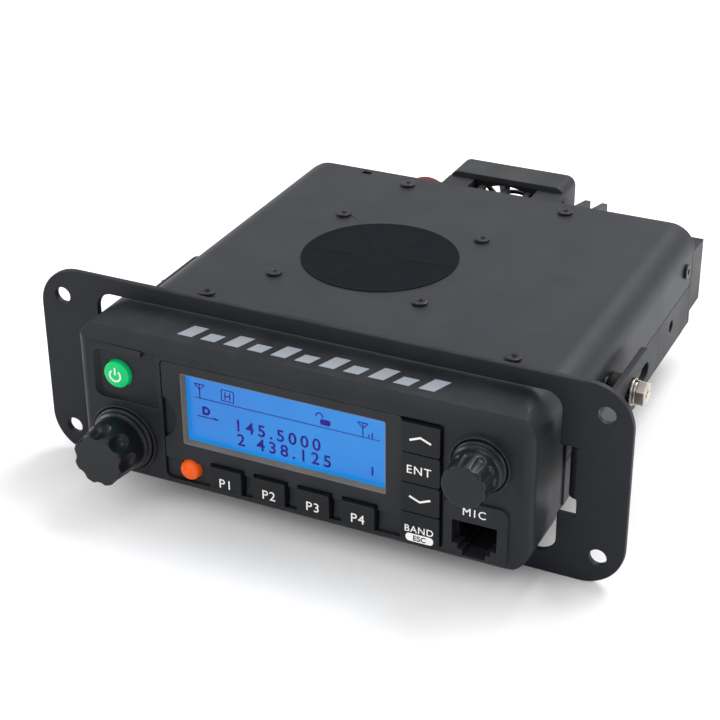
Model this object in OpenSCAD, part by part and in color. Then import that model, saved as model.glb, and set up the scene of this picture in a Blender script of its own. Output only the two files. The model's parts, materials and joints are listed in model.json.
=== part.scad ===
// Mobile transceiver with a flush-mount panel plate.
// Origin: centre of the plate's four-hole pattern, on the plate's rear face.
// +X is the viewer's right, the front faces -Y, +Z is up. Millimetres.

/* [Mounting plate] */
// Width of the mounting plate
plate_w = 183; // [175:0.5:230]
// Height of the mounting plate
plate_h = 62; // [58:0.5:90]
// Sheet thickness of the plate and its ears
plate_t = 2; // [1.2:0.1:3]
// Corner radius of the plate
plate_corner_r = 12.5; // [3:0.5:13]
// Side-to-side spacing of the plate's four holes
hole_pitch_x = 168; // [162:0.5:172]
// Up-and-down spacing of the plate's four holes
hole_pitch_z = 44.5; // [38:0.5:50]
// Diameter of the plate's four holes
hole_d = 5; // [3.2:0.1:6.5]
// Gap between the front housing's sides and the plate's opening
opening_gap_x = 1.8; // [0.6:0.1:2.5]
// Gap above and below the front housing in the plate's opening
opening_gap_z = 0.9; // [0.4:0.1:1.5]

/* [Plate ears] */
// Gap between the chassis side and the ear, filled by a spacer
ear_gap = 4; // [1:0.1:6]
// Height of the ear
ear_h = 15.6; // [12:0.1:20]
// Height of the ear's middle above the hole pattern's centre
ear_z = 2.3; // [-3:0.1:3]
// Distance from the plate to the ear's rounded end
ear_reach = 66.5; // [55:0.5:80]
// Inside radius of the ear's bend
ear_bend_r = 1; // [0.5:0.1:2]
// Width of the ear's slot
slot_w = 5.2; // [4.3:0.1:6]
// End-to-end length of the ear's slot
slot_l = 22.7; // [12:0.1:30]
// Margin between the slot's end and the ear's end
slot_margin = 3; // [2:0.1:6]
// Distance from the plate to the ear bolts
ear_bolt_y = 47.5; // [46:0.5:60]
// Thread diameter of the ear bolts
ear_bolt_d = 4; // [3:0.5:5]
// Width across flats of the ear bolt's head
ear_bolt_af = 7; // [5.5:0.5:8]

/* [Front housing] */
// Width of the front housing
bezel_w = 140; // [138:0.5:150]
// Height of the front housing
bezel_h = 48.5; // [47:0.5:56]
// Height of the front housing's underside below the hole pattern's centre
bezel_drop = 23.5; // [23:0.1:26]
// Distance that the front housing stands in front of the plate
bezel_proud = 14.6; // [12:0.1:24]
// Corner radius of the front housing seen from the front
bezel_corner_r = 9; // [5:0.5:10]
// Radius of the housing's upright front edges
bezel_edge_r = 3; // [1:0.5:4]
// Thickness of the housing's front wall
front_wall = 3; // [2.5:0.1:4]
// Thickness of the housing's other walls
side_wall = 2.2; // [1.5:0.1:3]
// Height of the sloping brow above the display
brow_h = 4.2; // [2:0.1:6]
// Fall of the housing's top from the plate to the brow
top_fall = 1.9; // [0.5:0.1:3]

/* [Display] */
// Thickness of the display fascia
fascia_t = 1.8; // [1.5:0.1:2.4]
// Width of the display window
window_w = 63.7; // [50:0.1:66]
// Height of the display window
window_h = 23; // [18:0.1:24.5]
// Thickness of the clear window
window_t = 0.8; // [0.5:0.1:1]
// Thickness of the liquid crystal panel
lcd_t = 2; // [1.5:0.1:2.5]

/* [Keys and buttons] */
// Gap around every key and button
key_gap = 0.3; // [0.2:0.05:0.4]
// Travel of every key and button
key_travel = 0.7; // [0.3:0.05:0.9]
// Distance that the keys stand in front of the housing's face
key_proud = 1.4; // [0.8:0.1:2.5]
// Width of the four function keys
soft_key_w = 10.2; // [8:0.1:11]
// Height of the four function keys
soft_key_h = 7.4; // [6:0.1:7.6]
// Spacing of the four function keys
soft_key_pitch = 13.9; // [12.8:0.1:14.2]
// Width of the side key column
side_key_w = 11.4; // [10:0.1:12.8]
// Height of each side key
side_key_h = 9.1; // [8:0.1:9.1]
// Diameter of the power button
power_d = 8.4; // [6:0.1:10]
// Diameter of the round orange button
orange_d = 6.2; // [4:0.1:6.4]

/* [Knobs] */
// Diameter of the control shafts
shaft_d = 6; // [4:0.5:6]
// Radial running clearance of the control shafts
shaft_clear = 0.05; // [0.02:0.01:0.1]
// Diameter of the volume knob's skirt
volume_skirt_d = 19.6; // [18:0.1:21]
// Diameter of the volume knob's grip
volume_grip_d = 16.8; // [14:0.1:17.6]
// Distance from the housing's face to the volume knob's end
volume_knob_l = 15.4; // [12:0.1:20]
// Diameter of the channel knob's skirt
channel_skirt_d = 15.4; // [14.5:0.1:16.4]
// Diameter of the channel knob's grip
channel_grip_d = 13.4; // [12.6:0.1:14]
// Distance from the housing's face to the channel knob's end
channel_knob_l = 12.9; // [11:0.1:18]

/* [Chassis] */
// Width of the chassis
chassis_w = 140; // [138:0.5:142]
// Height of the chassis top above the hole pattern's centre
chassis_rise = 19.3; // [18:0.1:21]
// Depth of the chassis bottom below the hole pattern's centre
chassis_drop = 18.6; // [18:0.1:21]
// Distance from the plate to the top cover's rear edge
cover_end = 128.9; // [122:0.1:160]
// Bend radius of the top cover's long edges
cover_bend_r = 9; // [5:0.1:10]
// Sheet thickness of the top cover
cover_t = 1.2; // [0.8:0.1:1.4]
// Wall thickness of the casting
cast_wall = 3.7; // [3:0.1:5]
// Thickness of the casting's floor
cast_floor = 4; // [3.6:0.1:4.6]
// Length of the rear cooling fins
fin_l = 18.6; // [12:0.1:19]
// Thickness of the rear cooling fins
fin_t = 2; // [1.2:0.1:2.4]

/* [Speaker] */
// Radius of the speaker cloth on the top cover
cloth_r = 24.7; // [20:0.1:25.5]
// Half the spacing of the four speaker screws
speaker_screw_half = 24.3; // [23:0.1:26]
// Distance from the plate to the speaker's centre
speaker_y = 66.8; // [58:0.1:72]
// Sideways place of the speaker's centre
speaker_x = -12.8; // [-20:0.1:4]

/* [Fan and rear sockets] */
// Side of the square fan
fan_side = 35; // [34:0.5:35]
// Thickness of the fan
fan_t = 10; // [8:0.5:12]
// Wall of the fan shroud
shroud_wall = 2; // [1.5:0.1:2.4]
// Sideways place of the fan
fan_x = 1.2; // [-1:0.1:3]
// Sideways place of the antenna socket
antenna_x = -31.5; // [-34:0.1:-31.5]
// Thread diameter of the antenna socket
antenna_d = 15.8; // [14:0.1:16]

/* [Hidden] */
$fn = 48;

// Overlap that makes a cut run clean through a wall.
cut = 1;
// Clearance between pieces of one body, and between bodies that slide past each other.
fit = 0.1;
slide_gap = 0.1;

// Front housing planes.
face_y = -plate_t - bezel_proud;
wall_y = face_y + front_wall;
edge_chamfer = 1;
bezel_z0 = -bezel_drop;
bezel_z1 = bezel_z0 + bezel_h;
brow_y = face_y + 2.4;
brow_z1 = bezel_z1 - top_fall;
brow_z0 = brow_z1 - brow_h;
bezel_end = 6;
flange_t = 3;
flange_end = bezel_end + flange_t;

// Display fascia: outline, seat and key strip.
fascia_x0 = -42.3;
fascia_x1 = 32.4;
fascia_z1 = brow_z0 - 1.8;
fascia_z0 = bezel_z0 + side_wall + 0.1;
fascia_front = face_y + 0.2;
fascia_back = fascia_front + fascia_t;
strip_z = -14.5;
strip_depth = 0.8;
window_x0 = -36.2;
window_z0 = -8.8;
lens_edge = 1.2;
lens_front = fascia_back;
lcd_front = lens_front + window_t + fit;
lcd_back = lcd_front + lcd_t;
lcd_edge = 2.4;

// Keys.
key_front = face_y - key_proud;
flange_y0 = wall_y + 0.2;
flange_y1 = flange_y0 + 0.8;
key_lip = 0.8;
soft_key_x0 = -22;
soft_key_z = bezel_z0 + side_wall + 0.7 + soft_key_h / 2;
side_key_x = fascia_x1 + key_gap + side_key_w / 2;
side_key_pitch = side_key_h + 0.3;
side_key_top = brow_z0 - 2.25;
power_x = -57.3;
power_z = 8.9;
orange_x = -34.3;
orange_z = -17;
mic_panel_h = 0.8;
pocket_z0 = 0.8;
pocket_z1 = 16.4;
pocket_depth = 1.4;
keys_x1 = side_key_x + side_key_w / 2 + key_gap;
keys_z0 = soft_key_z - soft_key_h / 2 - key_gap;
keys_z1 = side_key_top + key_gap;

// Front circuit board, switches and controls.
board_t = 1.6;
board_y0 = -5;
board_y1 = board_y0 + board_t;
switch_h = 2.6;
plunger_h = 0.8;
switch_tip = board_y0 - switch_h - plunger_h;
stem_end = switch_tip - key_travel - 0.15;
volume_x = -55.5;
volume_z = -11;
channel_x = 55.3;
channel_z = 8.4;
control_side = 11;
bush_d = shaft_d + 1.4;
bush_end = face_y - 2.5;
control_y = wall_y + 1;
nut_af = 10;
nut_t = 2;
boss_h = 1.5;
knob_gap = 0.5;
knob_ring_gap = 0.35;
knob_ring_w = 0.6;
post_d = 4.6;
posts = [[-47, 16.2], [-47, -18], [48.6, 17.6], [52, -3]];

// Microphone jack.
jack_x = 54.1;
jack_w = 14.4;
jack_z0 = bezel_z0 + side_wall + fit;
jack_z1 = -8.8;
jack_end = 1;
plug_w = 11.9;
plug_z1 = -11;
plug_z0 = -18.1;
latch_w1 = 8.4;
latch_w2 = 5.6;
latch_drop = 1.6;

// Chassis.
chassis_x = chassis_w / 2;
top_z = chassis_rise;
housing_screw_z = top_z - cover_bend_r + 3.7;
floor_z0 = -chassis_drop;
floor_z1 = floor_z0 + cast_floor;
seam_z = -1;
inner_x = chassis_x - cover_t - fit;
inner_top = top_z - cover_t - fit;
inner_r = cover_bend_r - cover_t - fit;
cavity_x = inner_x - cast_wall;
rear_y0 = cover_end - 3;
rear_y1 = cover_end + 2.1;
side_block_end = rear_y1 + 10.5;
front_screws = [[-48.9, 21.9], [48.9, 21.9]];
rear_screws = [[-28.2, cover_end - 6.6], [28.2, cover_end - 6.6]];
cover_posts = concat(front_screws, rear_screws);
cover_screw_d = 2.5;
cover_head_d = 4.8;
cover_head_h = 1;
side_screw_z = 7;
side_screw_ys = [40, cover_end - 7.4];
bracket_y = cover_end - 20;
bracket_z = -7;
bracket_d = 4;

// Plate ears.
ear_x0 = chassis_x + ear_gap + slide_gap;
ear_x1 = ear_x0 + plate_t;
bend_x = ear_x1 + ear_bend_r;
notch_above = 0.5;
notch_below = 5.4;
opening_w = bezel_w + 2 * opening_gap_x;
opening_r = 5;
slot_y1 = ear_reach - slot_margin;
slot_y0 = slot_y1 - slot_l;
washer_t = 0.8;
lock_t = 1;
bolt_head_h = 2.8;
washer_x0 = ear_x1 + slide_gap;
lock_x0 = washer_x0 + washer_t;
head_x0 = lock_x0 + lock_t;

// Main board.
main_z0 = floor_z1 + 2.6;
main_z1 = main_z0 + board_t;
main_x = 60;
main_y0 = flange_end + 5;
main_y1 = cover_end - 25;
board_posts = [[-55, 32], [55, 32], [-55, cover_end - 31], [55, cover_end - 31]];

// Speaker.
basket_t = 1.2;
basket_z1 = top_z - cover_t - fit;
basket_half = speaker_screw_half + 3;
grille_r = cloth_r - 1.8;
hub_r = 7;
spoke_w = 1.4;
cone_depth = 8;
basket_back = basket_z1 - basket_t - cone_depth - 3;
magnet_r = 13;

// Fan, shroud and rear fins.
fan_z = top_z - 0.8 - fan_side / 2 - 0.3;
shroud_x = fan_side / 2 + 1.2 + shroud_wall;
shroud_top = top_z + 1.2;
shroud_y0 = rear_y1 + 7.6;
fan_y0 = shroud_y0 + 0.8;
fan_y1 = fan_y0 + fan_t;
guard_t = 1.4;
shroud_y1 = fan_y1 + fit + guard_t;
fan_hole = fan_side / 2 - 3;
fan_bore_r = fan_side / 2 - 0.8;
rotor_r = fan_bore_r - 0.5;
rotor_hub_r = 8;
fan_screw_d = 2.5;
fin_pitch = 6;

// Rear sockets.
antenna_z = 3;
sink_y0 = cover_end + fit;
dc_x = -53;
dc_z = 4;
phone_x = -53;
phone_z = -8.5;

// ---------------------------------------------------------------- helpers

module rounded(w, h, r) {
    square([w - 2 * r, h], center = true);
    square([w, h - 2 * r], center = true);
    for (sx = [-1, 1], sy = [-1, 1]) translate([sx * (w / 2 - r), sy * (h / 2 - r)]) circle(r);
}

// Upright slab between two depths, with rounded corners seen from the front.
module slab(x0, x1, z0, z1, y0, y1, r = 0) {
    translate([(x0 + x1) / 2, y1, (z0 + z1) / 2]) rotate([90, 0, 0]) linear_extrude(y1 - y0)
        if (r > 0) rounded(x1 - x0, z1 - z0, r);
        else square([x1 - x0, z1 - z0], center = true);
}

// Level slab between two heights, with rounded corners seen from above.
module tray(x0, x1, y0, y1, z0, z1, r = 0) {
    translate([(x0 + x1) / 2, (y0 + y1) / 2, z0]) linear_extrude(z1 - z0)
        if (r > 0) rounded(x1 - x0, y1 - y0, r);
        else square([x1 - x0, y1 - y0], center = true);
}

module box(x0, x1, y0, y1, z0, z1) {
    translate([x0, y0, z0]) cube([x1 - x0, y1 - y0, z1 - z0]);
}

module rod_x(y, z, d, x0, x1) {
    translate([x0, y, z]) rotate([0, 90, 0]) cylinder(h = x1 - x0, d = d);
}

module rod_y(x, z, d, y0, y1) {
    translate([x, y1, z]) rotate([90, 0, 0]) cylinder(h = y1 - y0, d = d);
}

module rod_z(x, y, d, z0, z1) {
    translate([x, y, z0]) cylinder(h = z1 - z0, d = d);
}

// Side outline (depth, height) pulled across the width.
module across(x0, x1) {
    translate([x0, 0, 0]) rotate([90, 0, 90]) linear_extrude(x1 - x0) children();
}

// Front outline (width, height) pulled from front to back.
module along(y0, y1) {
    translate([0, y1, 0]) rotate([90, 0, 0]) linear_extrude(y1 - y0) children();
}

module both_sides() {
    children();
    mirror([1, 0, 0]) children();
}

// Pan-head screw that points along -Z, with its head's seat at z = 0.
module pan_screw(d, head_d, head_h, l) {
    difference() {
        union() {
            cylinder(h = head_h, d = head_d);
            translate([0, 0, -l]) cylinder(h = l, d = d);
        }
        translate([0, 0, head_h * 0.4]) cylinder(h = head_h, d = head_d * 0.45, $fn = 6);
    }
}

// ---------------------------------------------------------------- mounting plate

module ear() {
    ear_mid_y = ear_reach - ear_h / 2;
    difference() {
        union() {
            box(ear_x0, ear_x1, ear_bend_r, ear_mid_y, ear_z - ear_h / 2, ear_z + ear_h / 2);
            rod_x(ear_mid_y, ear_z, ear_h, ear_x0, ear_x1);
            intersection() {
                difference() {
                    rod_z(bend_x, ear_bend_r, 2 * (ear_bend_r + plate_t), ear_z - ear_h / 2,
                          ear_z + ear_h / 2);
                    rod_z(bend_x, ear_bend_r, 2 * ear_bend_r, ear_z - ear_h, ear_z + ear_h);
                }
                box(ear_x0, bend_x, -plate_t, ear_bend_r, ear_z - ear_h, ear_z + ear_h);
            }
        }
        box(ear_x0 - cut, ear_x1 + cut, slot_y0 + slot_w / 2, slot_y1 - slot_w / 2,
            ear_z - slot_w / 2, ear_z + slot_w / 2);
        for (y = [slot_y0 + slot_w / 2, slot_y1 - slot_w / 2])
            rod_x(y, ear_z, slot_w, ear_x0 - cut, ear_x1 + cut);
    }
}

module mounting_plate() {
    color("#2f3239") {
        difference() {
            slab(-plate_w / 2, plate_w / 2, -plate_h / 2, plate_h / 2, -plate_t, 0, plate_corner_r);
            slab(-opening_w / 2, opening_w / 2, bezel_z0 - opening_gap_z, bezel_z1 + opening_gap_z,
                 -plate_t - cut, cut, opening_r);
            slab(-bend_x, bend_x, ear_z - ear_h / 2 - notch_below, ear_z + ear_h / 2 + notch_above,
                 -plate_t - cut, cut);
            for (sx = [-1, 1], sz = [-1, 1])
                rod_y(sx * hole_pitch_x / 2, sz * hole_pitch_z / 2, hole_d, -plate_t - cut, cut);
        }
        both_sides() ear();
    }
}

module ear_bolts() {
    color("#8a8378") both_sides() difference() {
        union() {
            rod_x(ear_bolt_y, ear_z, ear_bolt_d, cavity_x + 0.6, head_x0);
            translate([head_x0, ear_bolt_y, ear_z]) rotate([0, 90, 0])
                cylinder(h = bolt_head_h, d = ear_bolt_af / cos(30), $fn = 6);
        }
        for (a = [0, 90]) translate([head_x0 + bolt_head_h, ear_bolt_y, ear_z]) rotate([a, 0, 0])
            cube([2.4, 0.9, 4], center = true);
    }
}

module washer_ring(x0, t, outer_d) {
    difference() {
        rod_x(ear_bolt_y, ear_z, outer_d, x0, x0 + t);
        rod_x(ear_bolt_y, ear_z, ear_bolt_d + 0.3, x0 - cut, x0 + t + cut);
    }
}

module ear_lock_washers() {
    color("#7d776e") both_sides() difference() {
        washer_ring(lock_x0, lock_t, ear_bolt_af + 0.4);
        box(lock_x0 - cut, lock_x0 + lock_t + cut, ear_bolt_y - 0.4, ear_bolt_y + 0.4, ear_z,
            ear_z + ear_bolt_af);
    }
}

module ear_flat_washers() {
    color("#8f897f") both_sides() washer_ring(washer_x0, washer_t, ear_bolt_af + 1.2);
}

module ear_spacers() {
    color("#1c1d20") both_sides() washer_ring(chassis_x, ear_gap, ear_bolt_af + 2);
}

// ---------------------------------------------------------------- front housing

module housing_outline(shrink, y0, y1) {
    s = shrink;
    intersection() {
        slab(-bezel_w / 2 + s, bezel_w / 2 - s, bezel_z0 + s, bezel_z1 - s, y0, y1,
             bezel_corner_r - s);
        tray(-bezel_w / 2 + s, bezel_w / 2 - s, y0, y1 + 2 * bezel_edge_r, bezel_z0 - cut,
             bezel_z1 + cut, max(bezel_edge_r - s, 0.5));
        across(-bezel_w, bezel_w) polygon([
            [y0 + edge_chamfer, bezel_z0 + s], [y0, bezel_z0 + s + edge_chamfer],
            [y0, brow_z0 - s + (y0 - face_y) * brow_h / (brow_y - face_y)],
            [brow_y + s, brow_z1 - s], [-plate_t, bezel_z1 - s], [y1, bezel_z1 - s],
            [y1, bezel_z0 + s]
        ]);
    }
}

module jack_mouth(grow, y0, y1) {
    slab(jack_x - plug_w / 2 - grow, jack_x + plug_w / 2 + grow, plug_z0, plug_z1 + grow, y0, y1);
    slab(jack_x - latch_w1 / 2 - grow, jack_x + latch_w1 / 2 + grow, plug_z0 - latch_drop, plug_z0,
         y0, y1);
    slab(jack_x - latch_w2 / 2 - grow, jack_x + latch_w2 / 2 + grow,
         plug_z0 - 1.7 * latch_drop - grow, plug_z0, y0, y1);
}

// Recess round the power button, with a sloping left wall.
module power_pocket() {
    x0 = -64.8;
    x1 = fascia_x0 - 1.4;
    intersection() {
        translate([0, 0, pocket_z0 - cut]) linear_extrude(brow_z0 - pocket_z0 + cut) polygon([
            [x0 - 1, face_y - cut], [x0, face_y], [x0 + 1.6, face_y + pocket_depth],
            [x1, face_y + pocket_depth], [x1, face_y - cut]
        ]);
        union() {
            slab(x0 - 1, x1 + 3, pocket_z0, pocket_z1, face_y - 2 * cut, face_y + 2 * cut, 4.5);
            slab(x1 - 5, x1 + 3, pocket_z0, brow_z0 - 0.4, face_y - 2 * cut, face_y + 2 * cut, 1);
        }
    }
}

module front_housing() {
    knob_seats = [[volume_x, volume_z, volume_skirt_d], [channel_x, channel_z, channel_skirt_d]];
    post_x = bezel_w / 2 - side_wall - 3.2;
    color("#35373e") difference() {
        union() {
            difference() {
                housing_outline(0, face_y, bezel_end);
                difference() {
                    housing_outline(side_wall, wall_y, bezel_end + cut);
                    for (p = posts) rod_y(p[0], p[1], post_d, wall_y - cut, board_y0);
                    for (sx = [-1, 1], z = [-housing_screw_z, housing_screw_z])
                        slab(sx > 0 ? post_x - 3 : -bezel_w, sx > 0 ? bezel_w : 3 - post_x, z - 3,
                             z + 3, -2, bezel_end + 2 * cut);
                }
            }
            slab(keys_x1 + 0.8, bezel_w / 2 - 6.4, bezel_z0 + 1.6, -4, face_y - mic_panel_h, face_y + fit,
                 2.6);
            for (s = knob_seats) difference() {
                rod_y(s[0], s[1], s[2] + 2 * (knob_ring_gap + knob_ring_w), face_y - boss_h, face_y + fit);
                rod_y(s[0], s[1], s[2] + 2 * knob_ring_gap, face_y - boss_h - cut, face_y);
            }
        }
        slab(fascia_x0 - 0.2, keys_x1, fascia_z0 - 0.1, fascia_z1 + 0.2, face_y - cut, fascia_back,
             1.6);
        slab(fascia_x0 + 1, keys_x1, keys_z0, keys_z1, face_y, wall_y + cut);
        power_pocket();
        rod_y(power_x, power_z, power_d + 2 * key_gap, face_y, wall_y + cut);
        for (s = knob_seats) rod_y(s[0], s[1], bush_d + 0.4, face_y - cut, wall_y + cut);
        jack_mouth(0.55, face_y - 2 * cut, wall_y + cut);
        for (p = posts) rod_y(p[0], p[1], 2, board_y0 - 5, board_y0 + cut);
        for (sx = [-1, 1], z = [-housing_screw_z, housing_screw_z])
            rod_y(sx * post_x, z, 2.6, bezel_end - 6, bezel_end + cut);
    }
}

module display_fascia() {
    color("#2e3037") difference() {
        slab(fascia_x0, fascia_x1, fascia_z0, fascia_z1, fascia_front, fascia_back, 1.4);
        slab(window_x0, window_x0 + window_w, window_z0, window_z0 + window_h, fascia_front - cut,
             fascia_back + cut, 0.6);
        slab(fascia_x0 - cut, fascia_x1 + cut, fascia_z0 - cut, strip_z, fascia_front - cut,
             fascia_front + strip_depth);
        rod_y(fascia_x0 - 3.4, -1.2, 15, fascia_front - cut, fascia_front + 1.2);
        rod_y(orange_x, orange_z, orange_d + 2 * key_gap, fascia_front - cut, fascia_back + cut);
        for (i = [0:3]) {
            x = soft_key_x0 + i * soft_key_pitch;
            slab(x - soft_key_w / 2 - key_gap, x + soft_key_w / 2 + key_gap, fascia_z0 - cut,
                 soft_key_z + soft_key_h / 2 + key_gap, fascia_front - cut, fascia_back + cut);
        }
    }
}

module display_window() {
    color("#9fc8ff", 0.35)
        slab(window_x0 - lens_edge, window_x0 + window_w + lens_edge, window_z0 - lens_edge,
             window_z0 + window_h + lens_edge, lens_front, lens_front + window_t, 0.6);
}

module lcd_panel() {
    color("#2d96ee")
        slab(window_x0 - lcd_edge + 1, window_x0 + window_w + lcd_edge - 1, window_z0 - lcd_edge + 1,
             window_z0 + window_h + 1.2, lcd_front, lcd_back);
}

module lcd_frame() {
    x0 = window_x0 - lcd_edge;
    x1 = window_x0 + window_w + lcd_edge;
    z0 = window_z0 - lcd_edge;
    z1 = window_z0 + window_h + 1.7;
    color("#6c6a66") difference() {
        slab(x0, x1, z0, z1, lcd_front + 0.4, board_y0);
        slab(x0 + 0.9, x1 - 0.9, z0 + 0.9, z1 - 0.4, lcd_front - cut, board_y0 - 2);
    }
}

module backlight() {
    color("#bfe4ff")
        slab(window_x0 - lcd_edge + 1, window_x0 + window_w + lcd_edge - 1, window_z0 - lcd_edge + 1,
             window_z0 + window_h + 1.2, lcd_back + fit, lcd_back + fit + 3);
}

module front_pcb() {
    color("#1f5a35") difference() {
        slab(-61, 61, -20, 20.2, board_y0, board_y1);
        slab(jack_x - jack_w / 2 - 0.8, 61 + cut, -20 - cut, jack_z1 + 0.8, board_y0 - cut,
             board_y1 + cut);
        for (p = posts) rod_y(p[0], p[1], 2.2, board_y0 - cut, board_y1 + cut);
    }
}

module front_pcb_screws() {
    color("#9a9a96") for (p = posts) translate([p[0], board_y1, p[1]]) rotate([-90, 0, 0])
        pan_screw(1.8, 3.8, 1.2, 6);
}

module tact_switches() {
    places = concat(
        [[power_x, power_z], [orange_x, orange_z]],
        [for (i = [0:3]) [soft_key_x0 + i * soft_key_pitch, soft_key_z]],
        [for (i = [0:3]) [side_key_x, side_key_top - side_key_h / 2 - i * side_key_pitch]]
    );
    color("#c9c9c4") for (p = places) {
        slab(p[0] - 2.25, p[0] + 2.25, p[1] - 2.25, p[1] + 2.25, board_y0 - switch_h, board_y0);
        rod_y(p[0], p[1], 2.2, switch_tip, board_y0 - switch_h);
    }
}

// Panel control with a threaded bush; its shaft is a separate moving piece.
module control(x, z) {
    difference() {
        union() {
            slab(x - control_side / 2, x + control_side / 2, z - control_side / 2,
                 z + control_side / 2, control_y, board_y0);
            rod_y(x, z, bush_d, bush_end, control_y);
        }
        rod_y(x, z, shaft_d + 2 * shaft_clear, bush_end - cut, control_y + 2);
    }
}

module volume_control() {
    color("#7f8286") control(volume_x, volume_z);
}

module channel_encoder() {
    color("#7f8286") control(channel_x, channel_z);
}

module control_nuts() {
    color("#9b9c9e") for (p = [[volume_x, volume_z], [channel_x, channel_z]]) difference() {
        translate([p[0], face_y, p[1]]) rotate([90, 0, 0])
            cylinder(h = nut_t, d = nut_af / cos(30), $fn = 6);
        rod_y(p[0], p[1], bush_d, face_y - nut_t - cut, face_y + cut);
    }
}

module mic_jack() {
    inner_z0 = bezel_z0 + side_wall;
    chamfer = edge_chamfer + 0.15;
    color("#17181a") difference() {
        slab(jack_x - jack_w / 2, jack_x + jack_w / 2, jack_z0, jack_z1, wall_y, jack_end);
        jack_mouth(0, wall_y - cut, jack_end - 1.5);
        across(jack_x - jack_w, jack_x + jack_w) polygon([
            [wall_y - cut, inner_z0 - cut], [wall_y + chamfer + cut, inner_z0 - cut],
            [wall_y - cut, inner_z0 + chamfer + cut]
        ]);
    }
}

module mic_contacts() {
    color("#c9a23c") for (i = [0:7]) {
        x = jack_x + (i - 3.5) * 1.02;
        box(x - 0.2, x + 0.2, wall_y + 3, wall_y + 10, plug_z1 - 0.5, plug_z1 - 0.1);
    }
}

module ribbon_cable() {
    color("#d8d4c8") across(-12, 12) polygon([
        [board_y1, 1], [flange_end + 8, 1], [flange_end + 8, main_z1], [flange_end + 7.6, main_z1],
        [flange_end + 7.6, 0.6], [board_y1, 0.6]
    ]);
}

module housing_screws() {
    post_x = bezel_w / 2 - side_wall - 3.2;
    color("#4b4a48") for (sx = [-1, 1], z = [-housing_screw_z, housing_screw_z])
        translate([sx * post_x, flange_end, z]) rotate([-90, 0, 0]) pan_screw(2.5, 4.4, 1.5, 8);
}

// ---------------------------------------------------------------- chassis

module casing(w, z0, z1, r) {
    translate([-w / 2, z0]) square([w, z1 - z0 - r]);
    translate([-w / 2 + r, z0]) square([w - 2 * r, z1 - z0]);
    for (s = [-1, 1]) translate([s * (w / 2 - r), z1 - r]) circle(r);
}

module fin(x, y1, z_root, z_tip) {
    across(x - fin_t / 2, x + fin_t / 2) polygon([
        [rear_y1 - 0.5, floor_z0 + 4], [rear_y1 - 0.5, z_root], [rear_y1 + 5, z_root],
        [y1, z_tip], [y1, floor_z0 + 6], [rear_y1 + 2, floor_z0 + 4]
    ]);
}

// Holes in the rear wall for the sockets.
module socket_holes() {
    rod_y(antenna_x, antenna_z, antenna_d - 3, rear_y0 - cut, rear_y1 + cut);
    slab(dc_x - 6, dc_x + 6, dc_z - 4, dc_z + 4, rear_y0 - cut, rear_y1 + cut);
    rod_y(phone_x, phone_z, 6.2, rear_y0 - cut, rear_y1 + cut);
}

module chassis_casting() {
    groove_w = 3;
    groove_d = 2;
    post_x = bezel_w / 2 - side_wall - 3.2;
    color("#26282c") difference() {
        union() {
            difference() {
                slab(-bezel_w / 2 + 0.6, bezel_w / 2 - 0.6, bezel_z0 + 0.6, bezel_z1 - 0.6,
                     bezel_end, flange_end, bezel_corner_r - 0.6);
                slab(-44, 44, -8, 14, bezel_end - cut, flange_end + cut, 2);
            }
            difference() {
                union() {
                    along(flange_end, sink_y0) casing(2 * inner_x, floor_z0, inner_top, inner_r);
                    along(flange_end, sink_y0) polygon([
                        [-chassis_x + 3, floor_z0], [chassis_x - 3, floor_z0],
                        [chassis_x, floor_z0 + 3], [chassis_x, seam_z], [-chassis_x, seam_z],
                        [-chassis_x, floor_z0 + 3]
                    ]);
                }
                difference() {
                    box(-cavity_x, cavity_x, flange_end, rear_y0, floor_z1, top_z + cut);
                    for (p = cover_posts) rod_z(p[0], p[1], 6, floor_z1 - cut, inner_top);
                    for (p = board_posts) rod_z(p[0], p[1], 6, floor_z1 - cut, main_z0);
                }
            }
        }
        for (i = [-8:8]) box(i * 7 - groove_w / 2, i * 7 + groove_w / 2, flange_end + 12, rear_y1 - 8,
                             floor_z0 - cut, floor_z0 + groove_d);
        for (p = cover_posts) rod_z(p[0], p[1], cover_screw_d + 0.1, inner_top - 9, inner_top + cut);
        for (p = board_posts) rod_z(p[0], p[1], 2.1, main_z0 - 4.5, main_z0 + cut);
        for (s = [-1, 1], z = [-housing_screw_z, housing_screw_z]) {
            rod_y(s * post_x, z, 2.7, bezel_end - cut, flange_end + cut);
            rod_y(s * post_x, z, 5.2, flange_end, flange_end + 2.2);
        }
        both_sides() {
            rod_x(ear_bolt_y, ear_z, ear_bolt_d + 0.1, cavity_x - cut, chassis_x + cut);
            rod_x(bracket_y, bracket_z, bracket_d, cavity_x - cut, chassis_x + cut);
            for (y = side_screw_ys)
                rod_x(y, side_screw_z, cover_screw_d + 0.1, cavity_x - cut, chassis_x + cut);
        }
        socket_holes();
    }
}

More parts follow.
